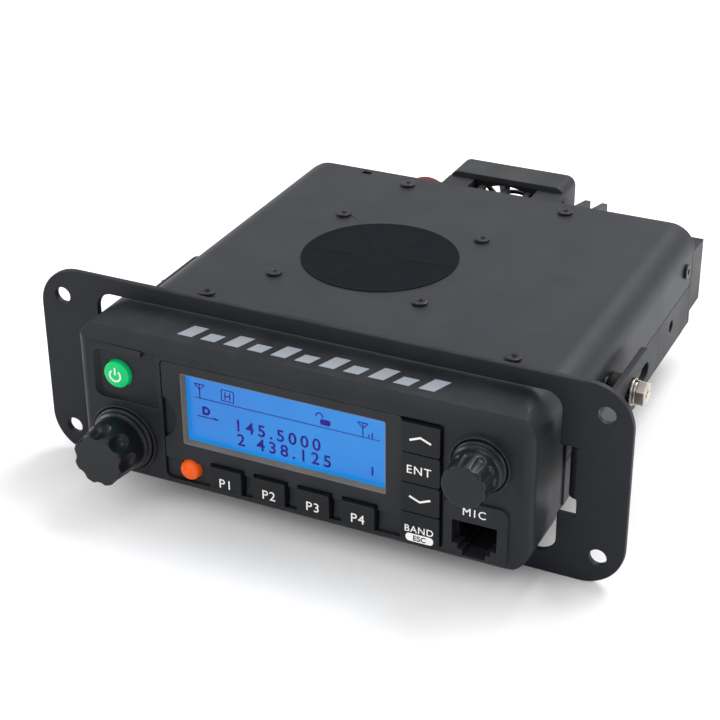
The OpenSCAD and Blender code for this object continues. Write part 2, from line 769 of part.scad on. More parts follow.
// Rear plate with side blocks, fins, the fan's posts and the deck over the duct.
module rear_heatsink() {
    color("#26282c") difference() {
        union() {
            along(sink_y0, rear_y1) {
                casing(chassis_w, floor_z0 + 3, top_z - 0.5, cover_bend_r - 0.3);
                polygon([
                    [-chassis_x + 3, floor_z0], [chassis_x - 3, floor_z0],
                    [chassis_x, floor_z0 + 3], [-chassis_x, floor_z0 + 3]
                ]);
            }
            both_sides() box(chassis_x - 8, chassis_x, rear_y1 - 0.5, side_block_end, -11.5, 10.2);
            for (i = [0, 1]) fin(27 + i * fin_pitch, rear_y1 + fin_l, 16, 13);
            for (i = [2:5]) fin(27 + i * fin_pitch, side_block_end, 10.2, 10.2);
            for (i = [-1:1]) fin(fan_x + i * 8.2, shroud_y0, 17, 17);
            for (sx = [-1, 1], sz = [-1, 1])
                rod_y(fan_x + sx * fan_hole, fan_z + sz * fan_hole, 6, rear_y1 - 0.5, fan_y0);
            for (s = [-1, 1])
                box(fan_x + (s > 0 ? 11.5 : -shroud_x), fan_x + (s > 0 ? shroud_x : -11.5),
                    rear_y1 - 0.5, shroud_y0, top_z - 3.2, top_z - 0.7);
        }
        for (sx = [-1, 1], sz = [-1, 1])
            rod_y(fan_x + sx * fan_hole, fan_z + sz * fan_hole, fan_screw_d + 0.1, fan_y0 - 7,
                  fan_y0 + cut);
        socket_holes();
    }
}

module top_cover() {
    color("#4b4e57") difference() {
        along(flange_end, cover_end) difference() {
            casing(chassis_w, seam_z + fit, top_z, cover_bend_r);
            casing(chassis_w - 2 * cover_t, seam_z - cut, top_z - cover_t, cover_bend_r - cover_t);
        }
        for (p = cover_posts) rod_z(p[0], p[1], cover_screw_d + 0.3, top_z - 3, top_z + cut);
        for (sx = [-1, 1], sy = [-1, 1])
            rod_z(speaker_x + sx * speaker_screw_half, speaker_y + sy * speaker_screw_half,
                  cover_screw_d + 0.3, top_z - 3, top_z + cut);
        difference() {
            rod_z(speaker_x, speaker_y, 2 * grille_r, top_z - 3, top_z + cut);
            rod_z(speaker_x, speaker_y, 2 * hub_r, top_z - 4, top_z + 2 * cut);
            for (a = [0:2]) translate([speaker_x, speaker_y, top_z]) rotate([0, 0, a * 60 + 8])
                cube([2 * cloth_r, spoke_w, 8], center = true);
        }
        both_sides() {
            for (y = side_screw_ys)
                rod_x(y, side_screw_z, cover_screw_d + 0.3, chassis_x - 3, chassis_x + cut);
            rod_x(ear_bolt_y, ear_z, ear_bolt_d + 0.3, chassis_x - 3, chassis_x + cut);
        }
        box(-47.5, -44, cover_end - 3, cover_end + cut, top_z - 3, top_z + cut);
    }
}

module cover_screws() {
    speaker_places = [for (sx = [-1, 1], sy = [-1, 1])
        [speaker_x + sx * speaker_screw_half, speaker_y + sy * speaker_screw_half]];
    color("#3a3a3c") {
        for (p = cover_posts) translate([p[0], p[1], top_z])
            pan_screw(cover_screw_d, cover_head_d, cover_head_h, 8);
        for (p = speaker_places) translate([p[0], p[1], top_z])
            pan_screw(cover_screw_d, cover_head_d, cover_head_h, 5);
    }
}

module side_screws() {
    color("#3a3a3c") for (s = [-1, 1], y = side_screw_ys)
        translate([s * chassis_x, y, side_screw_z]) rotate([0, s * 90, 0])
            pan_screw(cover_screw_d, cover_head_d, cover_head_h, 4.5);
}

// ---------------------------------------------------------------- speaker

// Inside radius of the basket's cone at one height.
function basket_r(z) = magnet_r + (cloth_r + 0.4 - magnet_r) * (z - basket_back - basket_t)
                       / (basket_z1 - basket_back);

module speaker_frame() {
    z_back = basket_back;
    color("#55575b") difference() {
        union() {
            tray(speaker_x - basket_half, speaker_x + basket_half, speaker_y - basket_half,
                 speaker_y + basket_half, basket_z1 - basket_t, basket_z1, 3);
            translate([speaker_x, speaker_y, z_back])
                cylinder(h = basket_z1 - basket_t - z_back, r1 = magnet_r + 1, r2 = cloth_r + 0.6);
        }
        translate([speaker_x, speaker_y, z_back + basket_t])
            cylinder(h = basket_z1 - z_back, r1 = magnet_r, r2 = cloth_r + 0.4);
        for (a = [0:3]) translate([speaker_x, speaker_y, z_back + 5]) rotate([0, 0, a * 90 + 45])
            rotate([0, 90, 0]) cylinder(h = 2 * cloth_r, d = 6);
        for (sx = [-1, 1], sy = [-1, 1])
            rod_z(speaker_x + sx * speaker_screw_half, speaker_y + sy * speaker_screw_half,
                  cover_screw_d + 0.1, basket_z1 - 4, basket_z1 + cut);
    }
}

module speaker_cone() {
    z1 = basket_z1 - 0.8;
    rim_r = basket_r(z1 - 1) - 0.3;
    knee_r = rim_r - 2.8;
    color("#1d1e20") translate([speaker_x, speaker_y, 0]) rotate_extrude() polygon([
        [0, z1 - 4], [6, z1 - 5.5], [7, z1 - 6.5], [knee_r, z1 - 1.4], [rim_r - 0.8, z1],
        [rim_r, z1 - 1], [knee_r, z1 - 2.4], [7, z1 - 7.5], [6, z1 - 6.5], [0, z1 - 5]
    ]);
}

module speaker_magnet() {
    z_back = basket_back;
    color("#3f4043") rod_z(speaker_x, speaker_y, 2 * magnet_r, z_back - 7, z_back);
}

module speaker_cloth() {
    color("#2f3336") rod_z(speaker_x, speaker_y, 2 * cloth_r, top_z, top_z + 0.3);
}

// ---------------------------------------------------------------- electronics

module main_pcb() {
    color("#1f5a35") difference() {
        tray(-main_x, main_x, main_y0, main_y1, main_z0, main_z1);
        for (p = front_screws) rod_z(p[0], p[1], 7.5, main_z0 - cut, main_z1 + cut);
        for (p = board_posts) rod_z(p[0], p[1], 2.8, main_z0 - cut, main_z1 + cut);
    }
}

module pcb_screws() {
    color("#9a9a96") for (p = board_posts) translate([p[0], p[1], main_z1])
        pan_screw(2, 4, 1.4, 5);
}

module shield_can(x0, x1, y0, y1, h) {
    difference() {
        box(x0, x1, y0, y1, main_z1, main_z1 + h);
        box(x0 + 0.4, x1 - 0.4, y0 + 0.4, y1 - 0.4, main_z1 - cut, main_z1 + h - 0.4);
    }
}

module shield_cans() {
    color("#b9babb") {
        shield_can(-40, -8, main_y0 + 20, main_y0 + 52, 4);
        shield_can(-2, 36, main_y0 + 20, main_y0 + 44, 4);
        shield_can(-30, 30, main_y1 - 28, main_y1 - 8, 5);
    }
}

module power_module() {
    color("#2a2c30") {
        tray(-25, 25, main_y1 + 3, main_y1 + 14, floor_z1, floor_z1 + 2.4);
        tray(-22, 22, main_y1 + 4, main_y1 + 13, floor_z1 + 2.4, floor_z1 + 8);
    }
}

// ---------------------------------------------------------------- fan and rear sockets

module fan_shroud() {
    inner = shroud_x - shroud_wall;
    color("#2b2d31") difference() {
        union() {
            along(shroud_y0, shroud_y1) difference() {
                translate([fan_x, 0]) casing(2 * shroud_x, fan_z - fan_side / 2 - 0.4, shroud_top, 3.4);
                translate([fan_x, 0]) casing(2 * inner, fan_z - fan_side, shroud_top - shroud_wall, 2);
            }
            along(shroud_y1 - guard_t, shroud_y1) difference() {
                translate([fan_x, 0]) casing(2 * shroud_x, fan_z - fan_side / 2 - 0.4, shroud_top, 3.4);
                translate([fan_x, fan_z]) circle(fan_bore_r - 0.4);
            }
            for (r = [6.4, 11.2]) difference() {
                rod_y(fan_x, fan_z, 2 * r, shroud_y1 - guard_t, shroud_y1);
                rod_y(fan_x, fan_z, 2 * r - 2.4, shroud_y1 - guard_t - cut, shroud_y1 + cut);
            }
            for (a = [45, 135]) translate([fan_x, shroud_y1 - guard_t / 2, fan_z]) rotate([0, a, 0])
                difference() {
                    cube([2 * fan_bore_r, guard_t, 1.4], center = true);
                    cube([10.4, 2 * guard_t, 3], center = true);
                }
        }
        for (sx = [-1, 1], sz = [-1, 1])
            rod_y(fan_x + sx * fan_hole, fan_z + sz * fan_hole, fan_screw_d + 0.3,
                  shroud_y1 - guard_t - cut, shroud_y1 + cut);
    }
}

module fan_frame() {
    color("#1a1b1d") {
        difference() {
            slab(fan_x - fan_side / 2, fan_x + fan_side / 2, fan_z - fan_side / 2,
                 fan_z + fan_side / 2, fan_y0, fan_y1, 2);
            rod_y(fan_x, fan_z, 2 * fan_bore_r, fan_y0 - cut, fan_y1 + cut);
            for (sx = [-1, 1], sz = [-1, 1])
                rod_y(fan_x + sx * fan_hole, fan_z + sz * fan_hole, fan_screw_d + 0.3, fan_y0 - cut,
                      fan_y1 + cut);
        }
        difference() {
            rod_y(fan_x, fan_z, 2 * rotor_hub_r, fan_y0, fan_y0 + 1.4);
            rod_y(fan_x, fan_z, 1.5, fan_y0 - cut, fan_y0 + 0.4);
        }
        rod_y(fan_x, fan_z, 2, fan_y0 + 1.4, fan_y0 + 6);
        for (a = [30, 150, 270]) translate([fan_x, fan_y0 + 0.7, fan_z]) rotate([0, a, 0])
            translate([rotor_hub_r - 0.5, -0.7, -0.8]) cube([fan_bore_r - rotor_hub_r + 1, 1.4, 1.6]);
    }
}

module fan_screws() {
    color("#5c5a57") for (sx = [-1, 1], sz = [-1, 1])
        translate([fan_x + sx * fan_hole, shroud_y1, fan_z + sz * fan_hole]) rotate([-90, 0, 0])
            pan_screw(fan_screw_d, 4.4, 1.4, fan_t + guard_t + 6);
}

module fan_rotor() {
    blades = 7;
    rotor_y0 = fan_y0 + 2;
    rotor_y1 = fan_y1 - 0.8;
    color("#202124") difference() {
        union() {
            rod_y(fan_x, fan_z, 2 * rotor_hub_r, rotor_y0, rotor_y1);
            intersection() {
                rod_y(fan_x, fan_z, 2 * rotor_r, rotor_y0, rotor_y1);
                for (i = [0:blades - 1]) translate([fan_x, (rotor_y0 + rotor_y1) / 2, fan_z])
                    rotate([0, i * 360 / blades, 0]) rotate([38, 0, 0])
                        translate([rotor_hub_r - 1, -fan_t / 2, -0.5])
                            cube([rotor_r, fan_t, 1]);
            }
        }
        rod_y(fan_x, fan_z, 2 + 2 * shaft_clear, rotor_y0 - cut, fan_y0 + 6.2);
    }
}

module antenna_socket() {
    y_seat = rear_y1;
    color("#c4c4be") {
        difference() {
            union() {
                rod_y(antenna_x, antenna_z, antenna_d, y_seat + 2.4, y_seat + 15);
                translate([antenna_x, y_seat + 2.4, antenna_z]) rotate([90, 0, 0])
                    cylinder(h = 2.4, d = 18.4 / cos(30), $fn = 6);
                rod_y(antenna_x, antenna_z, antenna_d - 3.2, rear_y0, y_seat);
            }
            rod_y(antenna_x, antenna_z, antenna_d - 4.6, rear_y0 - cut, y_seat + 15 + cut);
        }
    }
}

module antenna_insulator() {
    color("#e9e6dc") difference() {
        rod_y(antenna_x, antenna_z, antenna_d - 4.6, rear_y0, rear_y1 + 4);
        rod_y(antenna_x, antenna_z, 5, rear_y0 - cut, rear_y1 + 4 + cut);
    }
}

module antenna_contact() {
    color("#c9a23c") difference() {
        rod_y(antenna_x, antenna_z, 5, rear_y0 - 0.8, rear_y1 + 10);
        rod_y(antenna_x, antenna_z, 3.9, rear_y1 + 2, rear_y1 + 10 + cut);
    }
}

module antenna_cap() {
    y0 = rear_y1 + 2.4 + slide_gap + 0.2;
    color("#8e1f1c") difference() {
        rod_y(antenna_x, antenna_z, antenna_d + 2.6, y0, rear_y1 + 17.2);
        rod_y(antenna_x, antenna_z, antenna_d + 2 * shaft_clear, y0 - cut, rear_y1 + 15.2);
    }
}

module dc_inlet() {
    color("#1b1c1e") difference() {
        union() {
            slab(dc_x - 8, dc_x + 8, dc_z - 5.4, dc_z + 5.4, rear_y1, rear_y1 + 7, 1.5);
            slab(dc_x - 5.9, dc_x + 5.9, dc_z - 3.9, dc_z + 3.9, rear_y0, rear_y1);
        }
        slab(dc_x - 6.6, dc_x + 6.6, dc_z - 4, dc_z + 4, rear_y1 + 1, rear_y1 + 7 + cut);
        for (s = [-1, 1]) slab(dc_x + s * 3.2 - 0.6, dc_x + s * 3.2 + 0.6, dc_z - 1.6, dc_z + 1.6,
                               rear_y0 - cut, rear_y1 + 2);
    }
}

module dc_pins() {
    color("#c9a23c") for (s = [-1, 1])
        slab(dc_x + s * 3.2 - 0.55, dc_x + s * 3.2 + 0.55, dc_z - 1.55, dc_z + 1.55, rear_y0 - 2,
             rear_y1 + 6);
}

module speaker_jack() {
    color("#2a2b2e") difference() {
        union() {
            rod_y(phone_x, phone_z, 8, rear_y1, rear_y1 + 2);
            rod_y(phone_x, phone_z, 6, rear_y0 - 9, rear_y1);
        }
        rod_y(phone_x, phone_z, 3.6, rear_y0 - 6, rear_y1 + 2 + cut);
    }
}

// ---------------------------------------------------------------- controls that move

// Knob with a round skirt and a grip that scallops cut into lobes.
module knob(x, z, skirt_d, grip_d, length, lobes, scallop_d, depth) {
    y_base = face_y - knob_gap;
    y_end = face_y - length;
    skirt_y = y_base - 2.2;
    difference() {
        union() {
            rod_y(x, z, skirt_d, skirt_y, y_base);
            difference() {
                rod_y(x, z, grip_d, y_end, skirt_y);
                for (i = [0:lobes - 1]) rotate_about(x, z, i * 360 / lobes)
                    rod_y(x + grip_d / 2 + scallop_d / 2 - depth, z, scallop_d, y_end - cut,
                          skirt_y - 1.4);
            }
        }
        rod_y(x, z, nut_af / cos(30) + 1, face_y - nut_t - 1, y_base + cut);
        rod_y(x, z, shaft_d, y_end + 2, y_base + cut);
    }
}

// Turns its children about an axis along Y.
module rotate_about(x, z, angle) {
    translate([x, 0, z]) rotate([0, angle, 0]) translate([-x, 0, -z]) children();
}

module control_shaft(x, z, y_end) {
    rod_y(x, z, shaft_d, y_end, control_y + 1.8);
}

module volume_knob() {
    color("#24262a") knob(volume_x, volume_z, volume_skirt_d, volume_grip_d, volume_knob_l, 9, 5, 1);
}

module volume_shaft() {
    color("#a8a8a6") control_shaft(volume_x, volume_z, face_y - volume_knob_l + 2);
}

module channel_knob() {
    color("#24262a")
        knob(channel_x, channel_z, channel_skirt_d, channel_grip_d, channel_knob_l, 12, 3.4, 0.5);
}

module channel_shaft() {
    color("#a8a8a6") control_shaft(channel_x, channel_z, face_y - channel_knob_l + 2);
}

// Round button: cap, retaining lip and stem.
module round_button(x, z, d, front, lip) {
    rod_y(x, z, d, front, flange_y0);
    rod_y(x, z, d + 2 * lip, flange_y0, flange_y1);
    rod_y(x, z, 2.4, flange_y1, stem_end);
}

// Rectangular key: cap, side lips and stem.
module key_cap(x, z, w, h) {
    slab(x - w / 2, x + w / 2, z - h / 2, z + h / 2, key_front, flange_y0, 0.7);
    slab(x - w / 2 - key_lip, x + w / 2 + key_lip, z - h / 2 + 0.4, z + h / 2 - 0.4, flange_y0,
         flange_y1);
    slab(x - 1.4, x + 1.4, z - 1.4, z + 1.4, flange_y1, stem_end);
}

module soft_key(i) {
    color("#1b1d21") key_cap(soft_key_x0 + i * soft_key_pitch, soft_key_z, soft_key_w, soft_key_h);
}

module side_key(i) {
    color("#1b1d21") key_cap(side_key_x, side_key_top - side_key_h / 2 - i * side_key_pitch,
                             side_key_w, side_key_h);
}

module power_button() {
    color("#12cb6d") round_button(power_x, power_z, power_d, face_y - 0.6, 0.9);
}

module orange_button() {
    color("#f4682a") round_button(orange_x, orange_z, orange_d, face_y - 2, 0.5);
}

mounting_plate();
ear_bolts();
ear_lock_washers();
ear_flat_washers();
ear_spacers();
front_housing();
display_fascia();
display_window();
lcd_panel();
lcd_frame();
backlight();
front_pcb();
front_pcb_screws();
tact_switches();
volume_control();
channel_encoder();
control_nuts();
mic_jack();
mic_contacts();
ribbon_cable();
housing_screws();
chassis_casting();
rear_heatsink();
top_cover();
cover_screws();
side_screws();
speaker_frame();
speaker_cone();
speaker_magnet();
speaker_cloth();
main_pcb();
pcb_screws();
shield_cans();
power_module();
fan_shroud();
fan_frame();
fan_screws();
antenna_socket();
antenna_insulator();
antenna_contact();
dc_inlet();
dc_pins();
speaker_jack();
antenna_cap();
fan_rotor();
volume_knob();
volume_shaft();
channel_knob();
channel_shaft();
power_button();
orange_button();
soft_key(0);  // key_p1
soft_key(1);  // key_p2
soft_key(2);  // key_p3
soft_key(3);  // key_p4
side_key(0);  // up_key
side_key(1);  // enter_key
side_key(2);  // down_key
side_key(3);  // escape_key
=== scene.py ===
"""Looks for a mobile transceiver held in its flush-mount panel plate."""

import json
import logging
import math
from collections.abc import Callable, Iterable, Sequence
from dataclasses import dataclass
from enum import Enum

import bmesh
import bpy
from mathutils import Matrix, Vector


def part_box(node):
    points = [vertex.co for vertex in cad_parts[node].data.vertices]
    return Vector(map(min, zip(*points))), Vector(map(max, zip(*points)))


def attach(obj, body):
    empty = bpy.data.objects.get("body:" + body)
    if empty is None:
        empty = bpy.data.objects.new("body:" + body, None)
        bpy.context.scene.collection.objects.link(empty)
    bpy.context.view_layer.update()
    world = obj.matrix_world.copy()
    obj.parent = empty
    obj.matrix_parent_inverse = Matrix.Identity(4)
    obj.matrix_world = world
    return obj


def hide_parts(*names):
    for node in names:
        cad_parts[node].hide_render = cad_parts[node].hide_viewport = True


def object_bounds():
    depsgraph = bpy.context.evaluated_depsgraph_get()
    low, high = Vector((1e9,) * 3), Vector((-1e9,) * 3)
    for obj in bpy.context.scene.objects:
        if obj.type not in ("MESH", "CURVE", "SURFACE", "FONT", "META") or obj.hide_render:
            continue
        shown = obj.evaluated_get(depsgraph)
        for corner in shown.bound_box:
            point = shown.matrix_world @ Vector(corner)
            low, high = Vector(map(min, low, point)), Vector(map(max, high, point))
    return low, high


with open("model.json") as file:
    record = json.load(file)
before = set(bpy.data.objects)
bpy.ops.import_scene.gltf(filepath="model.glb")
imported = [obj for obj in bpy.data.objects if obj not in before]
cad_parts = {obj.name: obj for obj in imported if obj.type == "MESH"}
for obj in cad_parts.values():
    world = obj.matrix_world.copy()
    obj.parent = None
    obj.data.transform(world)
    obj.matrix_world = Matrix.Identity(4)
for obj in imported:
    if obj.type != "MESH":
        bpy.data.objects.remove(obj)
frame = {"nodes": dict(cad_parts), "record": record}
CAD_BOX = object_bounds()
LOG = logging.getLogger("transceiver")
MM = 0.001

Colour = tuple[float, float, float]
Point = tuple[float, float]
Node = bpy.types.Node
Socket = bpy.types.NodeSocket
Tree = bpy.types.NodeTree
Material = bpy.types.Material
Object = bpy.types.Object
Mesh = bmesh.types.BMesh
Vert = bmesh.types.BMVert

DUST_COLOUR = (0.32, 0.31, 0.29, 1.0)
GAP_COLOUR = (0.003, 0.003, 0.004, 1.0)
WINDOW_IOR = 1.12
WELD_GAP = 0.002
FLAT_ANGLE = 0.8
SHARP_ANGLE = 32.0
CAPITAL_SHARE = 0.73
PRINT_SINK = 0.01


# ------------------------------------------------------------------ shader effects


class Effect(Enum):
    """The shader node groups that several finishes share."""

    GRAIN = "FineGrain"
    WEAR = "EdgeWear"
    DUST = "SettledDust"
    SMUDGE = "Smudges"
    WEAVE = "ClothWeave"
    BRUSH = "BrushMarks"


class Graph:
    """Adds and links nodes in one node tree."""

    def __init__(self, tree: Tree) -> None:
        """Keeps the tree.

        Args:
            tree: The tree that the nodes go into.
        """
        self.tree = tree

    def add(self, kind: str, **values: object) -> Node:
        """Adds one node.

        Args:
            kind: The node's type, without its ShaderNode prefix.
            values: Settings of the node; a name that is no setting is an input socket.

        Returns:
            The new node.
        """
        node = self.tree.nodes.new("ShaderNode" + kind)
        for name, value in values.items():
            if hasattr(node, name):
                setattr(node, name, value)
            else:
                self.feed(node.inputs[name.replace("_", " ")], value)
        return node

    def feed(self, socket: Socket, value: object) -> None:
        """Links an output socket to an input, or sets the input's value."""
        if isinstance(value, Socket):
            self.tree.links.new(value, socket)
        else:
            socket.default_value = value

    def math(self, kind: str, first: object, second: object = 0.0, clamp: bool = False) -> Socket:
        """Adds a Math node.

        Args:
            kind: The operation.
            first: First value or socket.
            second: Second value or socket.
            clamp: Whether the result stays between 0 and 1.

        Returns:
            The result's socket.
        """
        node = self.add("Math", operation=kind, use_clamp=clamp)
        self.feed(node.inputs[0], first)
        self.feed(node.inputs[1], second)
        return node.outputs[0]

    def remap(
        self, value: object, low: float, high: float, to_low: object = 0.0, to_high: object = 1.0
    ) -> Socket:
        """Maps a value from one range to another and keeps it inside.

        Args:
            value: The value or socket to map.
            low: Start of the range it comes from.
            high: End of the range it comes from.
            to_low: Start of the range it goes to.
            to_high: End of the range it goes to.

        Returns:
            The mapped value's socket.
        """
        node = self.add("MapRange", clamp=True)
        for socket, item in zip(node.inputs[:5], (value, low, high, to_low, to_high)):
            self.feed(socket, item)
        return node.outputs[0]

    def mix(self, factor: object, first: object, second: object) -> Socket:
        """Mixes two colours.

        Args:
            factor: Share of the second colour.
            first: First colour or socket.
            second: Second colour or socket.

        Returns:
            The mixed colour's socket.
        """
        node = self.add("Mix", data_type="RGBA", clamp_factor=True)
        self.feed(node.inputs[0], factor)
        self.feed(node.inputs[6], first)
        self.feed(node.inputs[7], second)
        return node.outputs[2]

    def object_place(self) -> Socket:
        """Position in the object's own space."""
        return self.add("TexCoord").outputs["Object"]


class EffectShelf:
    """Builds each shared node group once and hands out copies of it."""

    def __init__(self) -> None:
        """Builds every group."""
        makers: dict[Effect, Callable[[Tree], None]] = {
            Effect.GRAIN: self._grain,
            Effect.WEAR: self._wear,
            Effect.DUST: self._dust,
            Effect.SMUDGE: self._smudge,
            Effect.WEAVE: self._weave,
            Effect.BRUSH: self._brush,
        }
        self.groups: dict[Effect, Tree] = {}
        for effect, maker in makers.items():
            tree = bpy.data.node_groups.new(effect.value, "ShaderNodeTree")
            maker(tree)
            self.groups[effect] = tree

    def place(self, graph: Graph, effect: Effect, **values: float) -> Node:
        """Puts a shared group into a material.

        Args:
            graph: The material's graph.
            effect: Which group.
            values: Values of the group's inputs; an underscore stands for a space.

        Returns:
            The group node.
        """
        node = graph.add("Group", node_tree=self.groups[effect])
        for name, value in values.items():
            graph.feed(node.inputs[name.replace("_", " ")], value)
        return node

    @staticmethod
    def _sockets(
        tree: Tree, inputs: dict[str, float], outputs: Sequence[str]
    ) -> tuple[Graph, Node, Node]:
        """Makes a group's sockets.

        Args:
            tree: The group.
            inputs: Input names and their usual values.
            outputs: Output names.

        Returns:
            The graph, the group's input node and its output node.
        """
        for name, value in inputs.items():
            socket = tree.interface.new_socket(name=name, in_out="INPUT", socket_type="NodeSocketFloat")
            socket.default_value = value
        for name in outputs:
            tree.interface.new_socket(name=name, in_out="OUTPUT", socket_type="NodeSocketFloat")
        source = tree.nodes.new("NodeGroupInput")
        sink = tree.nodes.new("NodeGroupOutput")
        return Graph(tree), source, sink

    def _grain(self, tree: Tree) -> None:
        """Moulded or powder-coated texture: fine bumps over slow waves."""
        graph, source, sink = self._sockets(tree, {"Scale": 3000.0, "Sharpness": 0.5}, ["Height", "Mottle"])
        place, scale = graph.object_place(), source.outputs["Scale"]
        fine = graph.add("TexNoise", Vector=place, Scale=scale, Detail=3.0, Roughness=0.62)
        coarse = graph.math("MULTIPLY", scale, 0.45)
        cells = graph.add("TexVoronoi", feature="SMOOTH_F1", Vector=place, Scale=coarse)
        slow = graph.add("TexNoise", Vector=place, Scale=90.0, Detail=4.0)
        bumps = graph.remap(cells.outputs["Distance"], 0.1, 0.8)
        share = graph.math("MULTIPLY", bumps, source.outputs["Sharpness"])
        graph.feed(sink.inputs["Height"], graph.math("ADD", share, fine.outputs["Fac"]))
        graph.feed(sink.inputs["Mottle"], graph.remap(slow.outputs["Fac"], 0.3, 0.7))

    def _wear(self, tree: Tree) -> None:
        """Rubbed edges: where a rounded normal leaves the true one, broken up by noise."""
        graph, source, sink = self._sockets(tree, {"Radius": 0.0005, "Amount": 0.5}, ["Wear"])
        rounded = graph.add("Bevel", samples=4, Radius=source.outputs["Radius"])
        flat = graph.add("NewGeometry").outputs["Normal"]
        turn = graph.add("VectorMath", operation="DOT_PRODUCT")
        graph.feed(turn.inputs[0], rounded.outputs[0])
        graph.feed(turn.inputs[1], flat)
        bend = graph.remap(turn.outputs["Value"], 0.995, 0.86)
        place = graph.object_place()
        noise = graph.add("TexNoise", Vector=place, Scale=700.0, Detail=5.0, Roughness=0.7)
        broken = graph.remap(noise.outputs["Fac"], 0.42, 0.68)
        mask = graph.math("MULTIPLY", bend, broken)
        graph.feed(sink.inputs["Wear"], graph.math("MULTIPLY", mask, source.outputs["Amount"], clamp=True))

    def _dust(self, tree: Tree) -> None:
        """Fine dust that lies on what faces up."""
        graph, source, sink = self._sockets(tree, {"Amount": 0.2}, ["Dust"])
        split = graph.add("SeparateXYZ", Vector=graph.add("NewGeometry").outputs["Normal"])
        up = graph.remap(split.outputs["Z"], 0.35, 1.0)
        place = graph.object_place()
        cloud = graph.add("TexNoise", Vector=place, Scale=45.0, Detail=6.0, Roughness=0.65)
        speck = graph.add("TexNoise", Vector=place, Scale=2600.0, Detail=2.0)
        soft = graph.remap(cloud.outputs["Fac"], 0.4, 0.7)
        hard = graph.remap(speck.outputs["Fac"], 0.62, 0.74)
        both = graph.math("ADD", graph.math("MULTIPLY", soft, 0.4), graph.math("MULTIPLY", hard, 0.6))
        mask = graph.math("MULTIPLY", both, up)
        graph.feed(sink.inputs["Dust"], graph.math("MULTIPLY", mask, source.outputs["Amount"], clamp=True))

    def _smudge(self, tree: Tree) -> None:
        """Handling marks that shift the gloss between two values."""
        inputs = {"Low": 0.35, "High": 0.5, "Scale": 60.0}
        graph, source, sink = self._sockets(tree, inputs, ["Roughness"])
        place, scale = graph.object_place(), source.outputs["Scale"]
        broad = graph.add("TexNoise", Vector=place, Scale=scale, Detail=5.0, Roughness=0.6, Distortion=0.6)
        fine = graph.add("TexNoise", Vector=place, Scale=1500.0, Detail=2.0)
        most = graph.math("MULTIPLY", broad.outputs["Fac"], 0.75)
        blend = graph.math("ADD", most, graph.math("MULTIPLY", fine.outputs["Fac"], 0.25))
        rough = graph.remap(blend, 0.35, 0.65, source.outputs["Low"], source.outputs["High"])
        graph.feed(sink.inputs["Roughness"], rough)

    def _weave(self, tree: Tree) -> None:
        """Plain weave in the level plane."""
        graph, source, sink = self._sockets(tree, {"Threads": 1400.0}, ["Height", "Gap"])
        split = graph.add("SeparateXYZ", Vector=graph.object_place())
        threads = graph.math("MULTIPLY", source.outputs["Threads"], math.pi)
        waves = []
        for axis in ("X", "Y"):
            phase = graph.math("MULTIPLY", split.outputs[axis], threads)
            waves.append(graph.math("ABSOLUTE", graph.math("SINE", phase)))
        height = graph.math("MULTIPLY", waves[0], waves[1])
        graph.feed(sink.inputs["Height"], height)
        graph.feed(sink.inputs["Gap"], graph.remap(height, 0.12, 0.4, 1.0, 0.0))

    def _brush(self, tree: Tree) -> None:
        """Fine turned or drawn marks along one axis."""
        graph, source, sink = self._sockets(tree, {"Scale": 900.0, "Stretch": 20.0}, ["Height"])
        size = graph.add("CombineXYZ", X=1.0, Y=source.outputs["Stretch"], Z=1.0).outputs[0]
        spread = graph.add("Mapping", Vector=graph.object_place(), Scale=size).outputs[0]
        noise = graph.add("TexNoise", Vector=spread, Scale=source.outputs["Scale"], Detail=3.0)
        graph.feed(sink.inputs["Height"], noise.outputs["Fac"])


SHELF = EffectShelf()


# ------------------------------------------------------------------ finishes


def grey(level: float, cool: float = 0.0) -> Colour:
    """A neutral colour.

    Args:
        level: Linear brightness.
        cool: How much blue it leans to.

    Returns:
        The linear colour.
    """
    return (level * (1 - cool * 0.5), level, level * (1 + cool))


